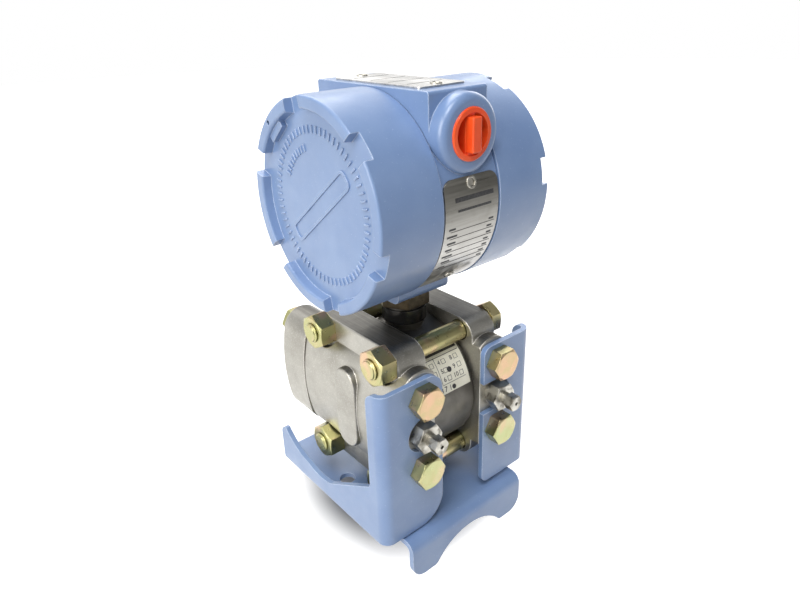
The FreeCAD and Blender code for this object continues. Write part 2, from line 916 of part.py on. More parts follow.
def bolt(length, at, turn, flats, depth):
    """A screw whose head stands on `at` and points along the turn, with its shank the other way."""
    head = crowned_hexagon(flats, depth, at, turn)
    back = {ALONG_X: BACK_X, BACK_X: ALONG_X, ALONG_Y: BACK_Y, BACK_Y: ALONG_Y}[turn]
    shank = cylinder(s.bolt_radius, length - s.bolt_point, at, back)
    away = {ALONG_X: (-1, 0), BACK_X: (1, 0), ALONG_Y: (0, -1), BACK_Y: (0, 1)}[turn]
    start = (at[0] + (length - s.bolt_point) * away[0], at[1] + (length - s.bolt_point) * away[1], at[2])
    point = cone(s.bolt_radius, s.bolt_radius - s.bolt_point, s.bolt_point, start, back)
    return fuse(head, shank, point)


def make_main_bolts():
    outside = s.cell_half + s.bar_gauge
    length = outside * 2 + s.nut_depth + s.bolt_end
    bolts = [bolt(length, (outside, y, z), ALONG_X, s.head_flats, s.head_depth) for y, z in main_positions()]
    keep(group(bolts), "main_bolts")
    nuts = []
    for y, z in main_positions():
        blank = crowned_hexagon(s.nut_flats, s.nut_depth, (-outside, y, z), BACK_X)
        hole = cylinder(s.bolt_radius + s.thread_clearance, s.nut_depth, (-outside, y, z), BACK_X)
        nuts.append(cut(blank, hole))
    keep(group(nuts), "main_nuts")


def make_bracket_bolts():
    face = s.boss_half_depth + s.gauge
    bolts = []
    for x, z in stud_positions():
        bolts.append(bolt(s.stud_depth + s.gauge, (x, -face, z), BACK_Y, s.head_flats, s.head_depth))
    keep(group(bolts), "bracket_bolts")


# Process adapters, bolted to the back of each flange

def make_adapter(name, side):
    body = new_body()
    centre = s.process_pitch / 2 * side
    lobe, half = s.adapter_lobe, s.stud_pitch / 2
    plate = new_sketch(body, "XZ", -s.boss_half_depth)
    wide = s.adapter_barrel
    crown = (wide * wide + half * half - lobe * lobe) / ((wide - lobe) * 2)
    meet_x = (crown - wide) * lobe / (crown - lobe)
    meet_z = half * crown / (crown - lobe)
    draw_outline(plate, [
        (centre + meet_x, -meet_z, lobe),
        (centre + meet_x, meet_z, crown),
        (centre, half + lobe, lobe),
        (centre - meet_x, meet_z, lobe),
        (centre - meet_x, -meet_z, crown),
        (centre, -(half + lobe), lobe),
    ])
    pad(body, plate, s.adapter_depth, backwards=True)
    back = s.boss_half_depth + s.adapter_depth
    round_edges(body, s.adapter_blend, lambda edge: near(edge.CenterOfMass.y, back)
                and edge.BoundBox.YLength < 0.001)
    thread = new_sketch(body, "XZ", -back)
    draw_circle(thread, (centre, 0), s.adapter_thread_radius)
    pocket(body, thread, s.adapter_thread_depth, backwards=True)
    bore = new_sketch(body, "XZ", -back)
    draw_circle(bore, (centre, 0), s.adapter_bore)
    pocket(body, bore, s.adapter_depth, backwards=True)
    seat = new_sketch(body, "XZ", -s.boss_half_depth)
    draw_circle(seat, (centre, 0), s.adapter_ring_radius + s.adapter_ring_wire)
    pocket(body, seat, s.adapter_ring_wire * 2)
    for up in (-1, 1):
        hole = new_sketch(body, "XZ", -back)
        draw_circle(hole, (centre, half * up), s.bolt_radius + s.bolt_clearance)
        pocket(body, hole, s.adapter_depth, backwards=True)
    keep(body, f"process_adapter_{name}")

    outer = s.adapter_ring_radius + s.adapter_ring_wire - s.ring_gap
    inner = s.adapter_ring_radius - s.adapter_ring_wire
    ring = sleeve(outer, inner, s.adapter_ring_wire * 2, (centre, s.boss_half_depth, 0), ALONG_Y)
    keep(ring, f"adapter_ring_{name}")


def make_adapter_bolts():
    face = s.boss_half_depth + s.adapter_depth
    bolts = []
    for x, z in stud_positions():
        bolts.append(bolt(s.stud_depth + s.adapter_depth, (x, face, z), ALONG_Y, s.head_flats, s.head_depth))
    keep(group(bolts), "adapter_bolts")


# Vent valves: a hexagonal seat screwed into the flange, and a stem that turns in it

def make_vents(name, side):
    x = s.process_pitch / 2 * side
    face = s.boss_half_depth
    screwed = cylinder(s.vent_tap_radius - s.thread_clearance, s.vent_tap_depth - 1, (x, -face, 0), ALONG_Y)
    collar = cylinder(s.vent_collar_radius, s.vent_collar_depth, (x, -face, 0), BACK_Y)
    hex_at = face + s.vent_collar_depth
    nut = crowned_hexagon(s.vent_flats, s.vent_hex_depth, (x, -hex_at, 0), BACK_Y)
    front = hex_at + s.vent_hex_depth
    bore_length = s.vent_collar_depth + s.vent_hex_depth + s.vent_tap_depth
    bore = cylinder(s.vent_bore, bore_length, (x, -front, 0), ALONG_Y)
    keep(cut(fuse(screwed, collar, nut), bore), f"vent_seat_{name}")
    shaft_radius = s.vent_bore - s.vent_stem_clearance
    shaft_length = s.vent_stem_reach + s.vent_stem_out
    tip = front + s.vent_stem_out
    shaft = cylinder(shaft_radius, shaft_length, (x, -tip, 0), ALONG_Y)
    head = crowned_hexagon(s.vent_head_flats, s.vent_head_depth, (x, -tip, 0), BACK_Y)
    outlet = cylinder(s.vent_outlet, s.vent_head_depth + 4, (x, -(tip + s.vent_head_depth), 0), ALONG_Y)
    keep(cut(fuse(shaft, head), outlet), f"vent_stem_{name}")


# Neck: the ring that seals the threads and the nut that locks the housing

def make_neck():
    ring_radius = s.neck_radius + s.neck_ring_wall
    inner = s.neck_radius + s.thread_clearance
    keep(sleeve(ring_radius, inner, s.neck_ring_depth, (0, 0, s.neck_ring_from)), "neck_seal")
    bottom = s.lock_nut_top - s.lock_nut_depth
    blank = hexagon(s.lock_nut_flats, s.lock_nut_depth, (0, 0, bottom))
    hole = cylinder(s.neck_radius + s.thread_clearance, s.lock_nut_depth, (0, 0, bottom))
    keep(cut(blank, hole), "neck_lock_nut")


# Housing body: the band between the covers, with its top block, conduit bosses and foot

def make_housing():
    body = new_body()
    mouth = s.body_half + s.spigot_length
    profile = new_sketch(body, "XZ")
    draw_outline(profile, [
        (-mouth, chamber_radius),
        (-mouth, spigot_radius),
        (-s.body_half, spigot_radius),
        (-s.body_half, s.body_radius),
        (s.body_half, s.body_radius),
        (s.body_half, spigot_radius),
        (mouth, spigot_radius),
        (mouth, chamber_radius),
        (s.web_to, chamber_radius),
        (s.web_to, 0),
        (s.web_from, 0),
        (s.web_from, chamber_radius),
    ])
    revolve(body, profile, "H_Axis")

    # the blocks are drawn outside the chamber, so they leave it open
    top = new_sketch(body, "YZ")
    wide, high, low = block_half, block_top, s.block_bottom
    ring = chamber_radius + 3
    inner_y = root(ring * ring - low * low)
    draw_outline(top, [
        (wide, low),
        (wide, high),
        (-wide, high),
        (-wide, low),
        (-inner_y, low),
        (inner_y, low, -ring),
    ])
    pad(body, top, s.body_half * 2, middle=True)
    foot = new_sketch(body, "YZ")
    foot_wide, drop = s.foot_half_y, foot_drop
    foot_z = root(ring * ring - foot_wide * foot_wide)
    draw_outline(foot, [
        (-foot_wide, -foot_z, -ring),
        (-foot_wide, -drop),
        (foot_wide, -drop),
        (foot_wide, -foot_z),
    ])
    pad(body, foot, s.foot_half_x * 2, middle=True)
    for level, radius in ((high, s.block_edge), (-drop, s.foot_edge)):
        round_edges(body, radius, lambda edge: edge.BoundBox.XLength > float(s.body_half) * 1.9
                    and runs_along(edge, "x") and near(edge.CenterOfMass.z, level))

    for face in (-1, 1):
        boss = new_sketch(body, "XZ", conduit_face * face)
        draw_circle(boss, (0, conduit_height), s.conduit_radius)
        pad(body, boss, conduit_face - block_half + 6, backwards=face == 1)
    round_edges(body, s.conduit_edge, lambda edge: near(abs(edge.CenterOfMass.y), conduit_face)
                and edge.BoundBox.YLength < 0.001)
    for face in (-1, 1):
        entry = new_sketch(body, "XZ", conduit_face * face)
        draw_circle(entry, (0, conduit_height), s.conduit_thread_radius)
        pocket(body, entry, s.conduit_depth, backwards=face == -1)
    neck = new_sketch(body, "XY", -drop)
    draw_circle(neck, (0, 0), s.neck_radius + s.thread_clearance)
    pocket(body, neck, drop - chamber_radius + 3, backwards=True)

    # wire way through the web between the two chambers
    way = new_sketch(body, "YZ", s.web_from - 1)
    draw_circle(way, (0, -chamber_radius * 0.6), s.wire_way)
    pocket(body, way, s.web_to - s.web_from + 2, backwards=True)
    drilled = s.plate_screw_radius + s.thread_clearance
    length = s.plate_screw_length + 1
    holes = plate_pins(drilled, length, s.body_radius + 1) + top_pins(drilled, length, block_top + 1)
    keep(cut(body, fuse(*holes)), "housing_body", HOUSING)


# Covers: turned caps with six castle lugs around the face

def add_lock(body, face):
    """Thickens the left cover's lug at two o'clock on its inner side and drills it for a locking wire."""
    def out(radius, across=0):
        return (radius * 0.5 - across * (math.sqrt(3) / 2), radius * (math.sqrt(3) / 2) + across * 0.5)

    ring = cover_radius - s.lug_width
    block = new_sketch(body, "YZ", face)
    draw_outline(block, [
        out(ring - s.lock_boss_width, s.lock_boss_half),
        out(ring - s.lock_boss_width, -s.lock_boss_half),
        out(ring + 1, -s.lock_boss_half),
        out(ring + 1, s.lock_boss_half),
    ])
    body.Tip = pad(body, block, s.lock_boss_height, backwards=True)
    hole = new_sketch(body, "YZ", -s.cover_end - 1)
    draw_circle(hole, out(ring + s.lug_width / 2), s.lock_hole)
    body.Tip = pocket(body, hole, s.lug_height, backwards=True)


def make_cover(name, side):
    body = new_body()
    start = s.body_half + s.cover_gap
    bore = spigot_radius + s.cover_thread_gap
    face = s.cover_end - s.lug_height
    seat = spigot_radius + s.cover_ring_wire * 2 + s.ring_gap * 2
    profile = new_sketch(body, "XZ")
    draw_outline(profile, [
        (start * side, seat),
        (start * side, cover_radius),
        (s.cover_end * side, cover_radius),
        (s.cover_end * side, cover_radius - s.lug_width),
        (face * side, cover_radius - s.lug_width - s.lug_slope),
        (face * side, 0),
        ((face - s.cover_wall) * side, 0),
        ((face - s.cover_wall) * side, bore),
        ((start + s.cover_ring_seat) * side, bore),
        ((start + s.cover_ring_seat) * side, seat),
    ])
    revolve(body, profile, "H_Axis")
    round_edges(body, s.cover_blend, lambda edge: near(edge.CenterOfMass.x, s.cover_end * side))

    # the notches, one drawn and then repeated around the axis
    notch = new_sketch(body, "YZ", (s.cover_end + 1) * side)
    half_angle = SIZES["notch_angle"] / 2
    width = cover_radius * math.sin(math.radians(half_angle))
    draw_outline(notch, [
        (-width, cover_radius - s.lug_width - 2),
        (width, cover_radius - s.lug_width - 2),
        (width, cover_radius + 2),
        (-width, cover_radius + 2),
    ])
    slot = pocket(body, notch, s.lug_height + 1, backwards=side == LEFT)
    doc.recompute()
    pattern = body.newObject("PartDesign::PolarPattern", "Notches")
    pattern.Originals = [slot]
    pattern.Axis = (notch, ["N_Axis"])
    pattern.Angle = 360
    pattern.Occurrences = 6
    body.Tip = pattern
    if side == LEFT:
        add_lock(body, face * side)
    keep(body, f"cover_{name}", HOUSING)
    turn = SIZES["notch_first"] if side == LEFT else SIZES["notch_first"] + SIZES["notch_offset"]
    body.Placement.Rotation = FreeCAD.Rotation(FreeCAD.Vector(1, 0, 0), turn)

    ring_at = start if side == RIGHT else -(start + s.cover_ring_wire * 2)
    outer, inner = seat - s.ring_gap, spigot_radius + s.ring_gap
    ring = sleeve(outer, inner, s.cover_ring_wire * 2, (ring_at, 0, 0), ALONG_X)
    keep(ring, f"cover_ring_{name}", HOUSING)


# Conduit plug: a moulded cup with a bar across it to turn it by

def make_plug():
    body = new_body()
    radius = s.conduit_thread_radius - s.plug_gap
    inner = radius - s.plug_wall
    face = conduit_face
    rim = face + s.plug_rim_depth
    profile = new_sketch(body, "XY")
    draw_outline(profile, [
        (0, -(face - s.plug_depth)),
        (radius - s.plug_draft, -(face - s.plug_depth)),
        (radius, -face),
        (s.plug_rim_radius, -face),
        (s.plug_rim_radius, -(rim - s.plug_edge)),
        (s.plug_rim_radius - s.plug_edge, -rim),
        (inner, -rim),
        (inner - s.plug_draft, -(face - s.plug_depth + s.plug_wall)),
        (0, -(face - s.plug_depth + s.plug_wall)),
    ])
    revolve(body, profile, "V_Axis")
    bar = new_sketch(body, "XY")
    half, edge, foot = s.plug_bar_half, s.plug_bar_edge, face - s.plug_depth + s.plug_wall / 2
    draw_outline(bar, [
        (-half, -foot),
        (-half, -(face - edge)),
        (edge - half, -face),
        (half - edge, -face),
        (half, -(face - edge)),
        (half, -foot),
    ])
    pad(body, bar, (inner + s.plug_wall / 4) * 2, middle=True)
    at = (0, HOUSING[1], HOUSING[2] + conduit_height)
    keep(body, "conduit_plug", at)


# Plates: the curved nameplate at the front and the flat plate on the top block

def make_plates():
    body = new_body()
    radius = s.body_radius + s.skin_gap
    profile = new_sketch(body, "XZ")
    draw_outline(profile, [
        (-s.plate_half_width, radius),
        (s.plate_half_width, radius),
        (s.plate_half_width, radius + s.plate_gauge),
        (-s.plate_half_width, radius + s.plate_gauge),
    ])
    revolve(body, profile, "H_Axis", s.plate_sweep)
    gauge = float(s.plate_gauge)
    round_edges(body, s.plate_corner, lambda edge: edge.Curve.TypeId == "Part::GeomLine"
                and abs(edge.Length - gauge) < 0.01)
    body.Placement.Rotation = FreeCAD.Rotation(FreeCAD.Vector(1, 0, 0), 90 - SIZES["plate_top_angle"])
    outside = radius + s.plate_gauge
    holes = plate_pins(s.plate_screw_radius + s.plate_screw_gap, s.plate_gauge + 2, outside + 1)
    keep(cut(body, fuse(*holes)), "nameplate", HOUSING)
    caps = plate_pins(s.plate_screw_head, s.plate_screw_cap, outside + s.plate_screw_cap)
    pins = plate_pins(s.plate_screw_radius, s.plate_screw_length, outside)
    keep(group([fuse(*pair) for pair in zip(caps, pins)]), "nameplate_screws", HOUSING)

    flat = new_body()
    outline = new_sketch(flat, "XY", block_top)
    half_x, half_y, corner = s.top_plate_half_x, s.top_plate_half_y, s.top_plate_corner
    draw_outline(outline, [
        (half_x, -(half_y - corner), corner),
        (half_x, half_y - corner),
        (half_x - corner, half_y, corner),
        (-(half_x - corner), half_y),
        (-half_x, half_y - corner, corner),
        (-half_x, -(half_y - corner)),
        (-(half_x - corner), -half_y, corner),
        (half_x - corner, -half_y),
    ])
    for end in (-1, 1):
        draw_circle(outline, (0, s.top_screw_at * end), s.plate_screw_radius + s.plate_screw_gap)
    pad(flat, outline, s.plate_gauge)
    keep(flat, "top_plate", HOUSING)
    outside = block_top + s.plate_gauge
    caps = top_pins(s.plate_screw_head, s.plate_screw_cap, outside + s.plate_screw_cap)
    pins = top_pins(s.plate_screw_radius, s.plate_screw_length, outside)
    keep(group([fuse(*pair) for pair in zip(caps, pins)]), "top_plate_screws", HOUSING)


# Inside the housing: the terminal block on one side of the web, the circuit boards on the other

def make_inside():
    wide, tall, deep = s.terminal_half_width, s.terminal_half_height, s.terminal_depth
    low = -(tall + s.terminal_drop)
    block = box(deep, wide * 2, tall * 2, (s.web_from - deep, -wide, low))
    barrier = s.terminal_wall
    cuts = []
    for step in (-1.5, -0.5, 0.5, 1.5):
        width = s.terminal_pitch - barrier
        corner = (s.web_from - deep, s.terminal_pitch * step - width / 2, low + barrier)
        cuts.append(box(s.terminal_well, width, tall * 2 - barrier * 2, corner))
    carved = cut(block, fuse(*cuts))
    holes = []
    screws = []
    for step in (-1.5, -0.5, 0.5, 1.5):
        at = (s.web_from - deep + s.terminal_well, s.terminal_pitch * step, low + tall)
        drilled = s.terminal_screw_radius + s.thread_clearance
        holes.append(cylinder(drilled, s.terminal_screw_length, at, ALONG_X))
        head = cylinder(s.terminal_head_radius, s.terminal_head, at, BACK_X)
        screws.append(fuse(head, cylinder(s.terminal_screw_radius, s.terminal_screw_length, at, ALONG_X)))
    keep(cut(carved, fuse(*holes)), "terminal_block", HOUSING)
    keep(group(screws), "terminal_screws", HOUSING)

    for number, name in enumerate(("inner", "outer")):
        start = s.web_to + s.board_first + s.board_pitch * number
        disc = cylinder(board_radius, s.board_gauge, (start, 0, 0), ALONG_X)
        holes = []
        for step in range(3):
            angle = math.radians(90 + 120 * step)
            at = (start, standoff_at * math.cos(angle), standoff_at * math.sin(angle))
            holes.append(cylinder(s.standoff_pin + s.thread_clearance, s.board_gauge, at, ALONG_X))
        keep(cut(disc, fuse(*holes)), f"circuit_board_{name}", HOUSING)
    posts = []
    for step in range(3):
        angle = math.radians(90 + 120 * step)
        y, z = standoff_at * math.cos(angle), standoff_at * math.sin(angle)
        first = cylinder(s.standoff_radius, s.board_first, (s.web_to, y, z), ALONG_X)
        gap = s.board_pitch - s.board_gauge
        second = cylinder(s.standoff_radius, gap, (s.web_to + s.board_first + s.board_gauge, y, z), ALONG_X)
        through = s.board_first + s.board_pitch + s.board_gauge + s.standoff_end
        pin = cylinder(s.standoff_pin, through, (s.web_to, y, z), ALONG_X)
        posts.append(fuse(first, second, pin))
    keep(group(posts), "board_standoffs", HOUSING)


make_bracket()
for side_name, side_sign in SIDES.items():
    make_flange(side_name, side_sign)
    make_adapter(side_name, side_sign)
    make_vents(side_name, side_sign)
    make_cover(side_name, side_sign)
make_cell()
make_gaskets()
make_main_bolts()
make_bracket_bolts()
make_adapter_bolts()
make_neck()
make_housing()
make_plug()
make_plates()
make_inside()
doc.recompute()

failed = [thing for thing in doc.Objects if "Invalid" in thing.State or "Error" in thing.State]
if failed:
    raise RuntimeError("failed: " + ", ".join(f"{thing.Name} ({thing.Label})" for thing in failed))
for thing in subparts:
    if thing.Shape.isNull() or not thing.Shape.isValid():
        raise RuntimeError(f"{thing.Label} has no valid shape")
for thing in subparts:
    thing.Shape.exportStep(f"parts/{thing.Label}.step")
    print(thing.Label, len(thing.Shape.Solids), round(thing.Shape.Volume, 1))
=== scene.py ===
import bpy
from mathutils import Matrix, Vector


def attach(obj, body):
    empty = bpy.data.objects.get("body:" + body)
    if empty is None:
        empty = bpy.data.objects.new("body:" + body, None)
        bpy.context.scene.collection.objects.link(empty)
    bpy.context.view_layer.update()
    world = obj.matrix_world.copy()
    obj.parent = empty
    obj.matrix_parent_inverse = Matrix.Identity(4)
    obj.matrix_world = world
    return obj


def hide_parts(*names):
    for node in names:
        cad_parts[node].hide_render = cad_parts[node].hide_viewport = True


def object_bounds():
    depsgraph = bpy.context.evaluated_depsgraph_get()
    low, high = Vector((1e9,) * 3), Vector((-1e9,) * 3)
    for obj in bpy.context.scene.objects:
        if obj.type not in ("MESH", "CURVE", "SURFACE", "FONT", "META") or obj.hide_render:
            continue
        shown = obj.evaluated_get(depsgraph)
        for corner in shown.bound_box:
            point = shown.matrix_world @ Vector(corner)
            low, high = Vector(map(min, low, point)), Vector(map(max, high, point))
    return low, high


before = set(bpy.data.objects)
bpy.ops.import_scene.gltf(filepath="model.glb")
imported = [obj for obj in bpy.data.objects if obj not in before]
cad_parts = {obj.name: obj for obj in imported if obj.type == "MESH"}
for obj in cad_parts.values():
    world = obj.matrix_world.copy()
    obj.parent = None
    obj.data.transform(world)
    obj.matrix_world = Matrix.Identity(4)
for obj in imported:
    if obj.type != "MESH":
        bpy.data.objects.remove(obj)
cad_box = [list(corner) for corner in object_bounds()]

import math

import bpy
from mathutils import Matrix, Vector

# Bracket: one sheet of 3 mm steel, bent into a channel with two ears and two lips.
# It is painted blue all over with a semi-gloss enamel, with a painted highlight of paler blue along
# its sharp edges.

MM = 0.001
BLUE = (0.184, 0.278, 0.482, 1)
BLUE_DEEP = (0.152, 0.240, 0.440, 1)
BLUE_SPECK_AND_HIGHLIGHT = (0.50, 0.61, 0.80, 1)
PAINT_EDGE = 0.7 * MM
HIGHLIGHT_EDGE = 0.8 * MM
SHEET_PEEL = 0.06 * MM


def start_finish(name, **sockets):
    """A new material and its shader."""
    finish = bpy.data.materials.new(name)
    finish.use_nodes = True
    shader = finish.node_tree.nodes["Principled BSDF"]
    for socket, value in sockets.items():
        shader.inputs[socket.replace("_", " ")].default_value = value
    return finish, shader


def add_node(finish, kind, **values):
    made = finish.node_tree.nodes.new(kind)
    for name, value in values.items():
        if hasattr(made, name):
            setattr(made, name, value)
        else:
            made.inputs[name.replace("_", " ")].default_value = value
    return made


def link(finish, output, socket):
    finish.node_tree.links.new(output, socket)


def piece_place(finish, stretch=None):
    """The piece's own coordinates, drawn out along an axis by stretch."""
    place = add_node(finish, "ShaderNodeTexCoord").outputs["Object"]
    if stretch is None:
        return place
    mapping = add_node(finish, "ShaderNodeMapping", Scale=stretch)
    link(finish, place, mapping.inputs["Vector"])
    return mapping.outputs["Vector"]


def surface_normal(finish):
    return add_node(finish, "ShaderNodeNewGeometry").outputs["Normal"]


def along(finish, vector, axis):
    """One axis of a place or of a direction."""
    parts = add_node(finish, "ShaderNodeSeparateXYZ")
    link(finish, vector, parts.inputs["Vector"])
    return parts.outputs[axis]


def grain(finish, scale, detail=3.0, stretch=None, warp=0.0):
    """Noise on the piece's own coordinates, finer as scale grows."""
    noise = add_node(finish, "ShaderNodeTexNoise", Scale=scale, Detail=detail, Distortion=warp)
    link(finish, piece_place(finish, stretch), noise.inputs["Vector"])
    return noise.outputs["Fac"]


def spread(finish, value, low, high, first=0.0, last=1.0):
    """Maps low..high of a value onto first..last."""
    scale = add_node(finish, "ShaderNodeMapRange", From_Min=low, From_Max=high,
                     To_Min=first, To_Max=last)
    link(finish, value, scale.inputs["Value"])
    return scale.outputs["Result"]


def times(finish, first, second):
    product = add_node(finish, "ShaderNodeMath", operation="MULTIPLY")
    link(finish, first, product.inputs[0])
    link(finish, second, product.inputs[1])
    return product.outputs["Value"]


def blend_colours(finish, factor, first, last):
    """Mixes two colours, each a plain colour or another mix."""
    mix = add_node(finish, "ShaderNodeMix", data_type="RGBA")
    link(finish, factor, mix.inputs["Factor"])
    sockets = [socket for socket in mix.inputs if socket.type == "RGBA"]
    for socket, colour in zip(sockets, (first, last)):
        if isinstance(colour, tuple):
            socket.default_value = colour
        else:
            link(finish, colour, socket)
    return [socket for socket in mix.outputs if socket.type == "RGBA"][0]


def clouds(finish, first, last, scale, detail=4, warp=0.0, low=0.35, high=0.65):
    """Two colours that drift into each other in cloudy patches."""
    patches = spread(finish, grain(finish, scale, detail, warp=warp), low, high)
    return blend_colours(finish, patches, first, last)


def flecks(finish, under, colour, scale, detail, low, high, most, warp=0.0):
    """Specks or patches of a colour over another, the finer the higher the scale."""
    spots = spread(finish, grain(finish, scale, detail, warp=warp), low, high, 0.0, most)
    return blend_colours(finish, spots, under, colour)


def paint(finish, shader, colour):
    link(finish, colour, shader.inputs["Base Color"])


def roughen(finish, shader, first, last, scale, detail=4):
    """Lets the roughness wander between first and last."""
    patches = spread(finish, grain(finish, scale, detail), 0.3, 0.7, first, last)
    link(finish, patches, shader.inputs["Roughness"])


def soft_edges(finish, radius):
    """The normal of a surface whose sharp edges are rounded by radius."""
    return add_node(finish, "ShaderNodeBevel", samples=6, Radius=radius).outputs["Normal"]


def edge_mask(finish, radius, low=0.02, high=0.20):
    """White along sharp edges, black on flats."""
    turn = add_node(finish, "ShaderNodeVectorMath", operation="DOT_PRODUCT")
    link(finish, soft_edges(finish, radius), turn.inputs[0])
    link(finish, surface_normal(finish), turn.inputs[1])
    return spread(finish, turn.outputs["Value"], 1 - low, 1 - high)


def relief(finish, shader, layers, radius):
    """Bumps over each other, each a value, a strength and a depth, on softly rounded edges."""
    normal = soft_edges(finish, radius)
    for value, strength, depth in layers:
        bump = add_node(finish, "ShaderNodeBump", Strength=strength, Distance=depth)
        link(finish, value, bump.inputs["Height"])
        link(finish, normal, bump.inputs["Normal"])
        normal = bump.outputs["Normal"]
    link(finish, normal, shader.inputs["Normal"])


def dress(node, finish):
    """Gives a CAD piece its finish."""
    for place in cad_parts[node].material_slots:
        place.material = finish


def blue_enamel(name, peel):
    finish, shader = start_finish(name, Specular_IOR_Level=0.6, Coat_Weight=0.4, Coat_Roughness=0.2)
    colour = clouds(finish, BLUE_DEEP, BLUE, 38)
    # Paler blue along sharp edges, broken into patches, is a painted highlight.
    patchy_highlight = spread(finish, grain(finish, 260, 4), 0.30, 0.58, 0.4, 1.0)
    edge_highlight = times(finish, edge_mask(finish, HIGHLIGHT_EDGE, 0.01, 0.14), patchy_highlight)
    colour = blend_colours(finish, edge_highlight, colour, BLUE_SPECK_AND_HIGHLIGHT)
    colour = flecks(finish, colour, BLUE_SPECK_AND_HIGHLIGHT, 1100, 3, 0.66, 0.78, 0.35)
    paint(finish, shader, colour)
    roughen(finish, shader, 0.32, 0.46, 120)
    orange_peel = (grain(finish, 430, 2), 0.35, peel)
    fine_dust = (grain(finish, 1900, 2), 0.15, 0.03 * MM)
    relief(finish, shader, [orange_peel, fine_dust], PAINT_EDGE)
    return finish


dress("mounting_bracket", blue_enamel("bracket_enamel", SHEET_PEEL))

# Process flanges and their adapters: stainless castings, bead blasted to an even warm grey.
# The top faces are milled and still show the cutter's lines, and their colour is much darker as
# painted shade.
# The edges carry a painted highlight of bright steel.

STEEL = (0.44, 0.428, 0.39, 1)
STEEL_DARK = (0.32, 0.308, 0.275, 1)
STEEL_SPECK_AND_HIGHLIGHT = (0.80, 0.78, 0.73, 1)
MILLED_SHADE_DARK = (0.08, 0.075, 0.067, 1)
MILLED_SHADE_LIGHT = (0.24, 0.23, 0.205, 1)
CAST_EDGE = 0.8 * MM
STEEL_HIGHLIGHT_EDGE = 0.6 * MM

cast_steel, shader = start_finish("blasted_casting", Metallic=0.95)
colour = clouds(cast_steel, STEEL_DARK, STEEL, 30, detail=5, warp=0.4, low=0.36, high=0.62)
colour = flecks(cast_steel, colour, STEEL_SPECK_AND_HIGHLIGHT, 1300, 2, 0.55, 0.72, 0.25)
# Faces turned upwards take a much darker colour: painted shade from the housing above them.
milled_shaded_top = spread(cast_steel, along(cast_steel, surface_normal(cast_steel), "Z"), 0.80, 0.97)
cutter = grain(cast_steel, 1500, 2, stretch=(1, 0.03, 1))
shaded_top_steel = blend_colours(cast_steel, cutter, MILLED_SHADE_DARK, MILLED_SHADE_LIGHT)
colour = blend_colours(cast_steel, milled_shaded_top, colour, shaded_top_steel)
# Bright steel along sharp edges is a painted highlight.
colour = blend_colours(cast_steel, edge_mask(cast_steel, STEEL_HIGHLIGHT_EDGE), colour, STEEL_SPECK_AND_HIGHLIGHT)
paint(cast_steel, shader, colour)
roughen(cast_steel, shader, 0.36, 0.50, 200)
blasting = (grain(cast_steel, 2200, 2), 0.4, 0.035 * MM)
casting_skin = (grain(cast_steel, 220, 3), 0.25, 0.12 * MM)
cutter_lines = (times(cast_steel, cutter, milled_shaded_top), 0.3, 0.03 * MM)
relief(cast_steel, shader, [blasting, casting_skin, cutter_lines], CAST_EDGE)
for side in ("left", "right"):
    dress(f"process_flange_{side}", cast_steel)
    dress(f"process_adapter_{side}", cast_steel)

# Seal rings and gaskets: white moulded rings in the joints, hidden once the bolts are tight.
# They sit in grooves turned into the cell and the flanges.

white_seal, shader = start_finish("white_seal", Base_Color=(0.72, 0.71, 0.67, 1), Roughness=0.5)
relief(white_seal, shader, [(grain(white_seal, 800, 2), 0.2, 0.03 * MM)], 0.2 * MM)
for side in ("left", "right"):
    dress(f"adapter_ring_{side}", white_seal)
    dress(f"flange_gasket_{side}", white_seal)

# Pressure cell: a turned and welded steel capsule with a threaded neck, dark and weathered.
# Fine lines from the lathe run round its axis.

CELL_DARK = (0.095, 0.090, 0.080, 1)
CELL_GREY = (0.170, 0.162, 0.146, 1)

cell_steel, shader = start_finish("weathered_cell", Metallic=0.85)
paint(cell_steel, shader, clouds(cell_steel, CELL_DARK, CELL_GREY, 45, detail=5, warp=0.6))
roughen(cell_steel, shader, 0.34, 0.52, 160)
lathe_lines = (grain(cell_steel, 900, 2, stretch=(1, 0.02, 0.02)), 0.4, 0.03 * MM)
pitting = (grain(cell_steel, 260, 3), 0.2, 0.05 * MM)
relief(cell_steel, shader, [lathe_lines, pitting], 0.5 * MM)
dress("sensor_cell", cell_steel)

# Cell label: a cream film glued round the cell.
# A small table of numbers with boxes beside them is printed on it in black.
# Two of them are marked with a dot.

LABEL_RADIUS = 38.24
CELL_AXIS = (-14.0, 62.5)
PRINT_GAP = 0.05
INK_DEPTH = 0.12
CREAM = (0.84, 0.82, 0.71, 1)
CREAM_DULL = (0.76, 0.74, 0.62, 1)
INK = (0.022, 0.022, 0.024, 1)
INK_GREY = (0.05, 0.05, 0.052, 1)
LABEL_ROWS = (50.6, 57.8, 64.6)
LAST_ROW = 72.0
DIGIT = 2.5
DIGIT_SHARE = 0.72
LARGE_DIGIT = 3.0
BOX = 2.6
RULE = 0.2
HEAVY_RULE = 0.35
NUMBERS = (("4", -2.2, 0), ("8", 6.3, 0), ("5", -2.3, 1),
           ("9", 6.3, 1), ("6", -2.3, 2), ("10", 5.7, 2))
BOXES = ((0.9, 0), (9.5, 0), (9.8, 1), (1.0, 2), (9.6, 2), (-7.4, 0), (-7.3, 1), (0.1, 1))
TO_FRONT = (math.pi / 2, 0, 0)
WELD = 0.002 * MM

label_film, shader = start_finish("cream_film", Roughness=0.42)
paint(label_film, shader, clouds(label_film, CREAM_DULL, CREAM, 120))
relief(label_film, shader, [(grain(label_film, 500, 2), 0.1, 0.03 * MM)], 0.1 * MM)
dress("cell_label", label_film)

ink, shader = start_finish("black_ink", Roughness=0.5)
paint(ink, shader, clouds(ink, INK, INK_GREY, 900, detail=3))


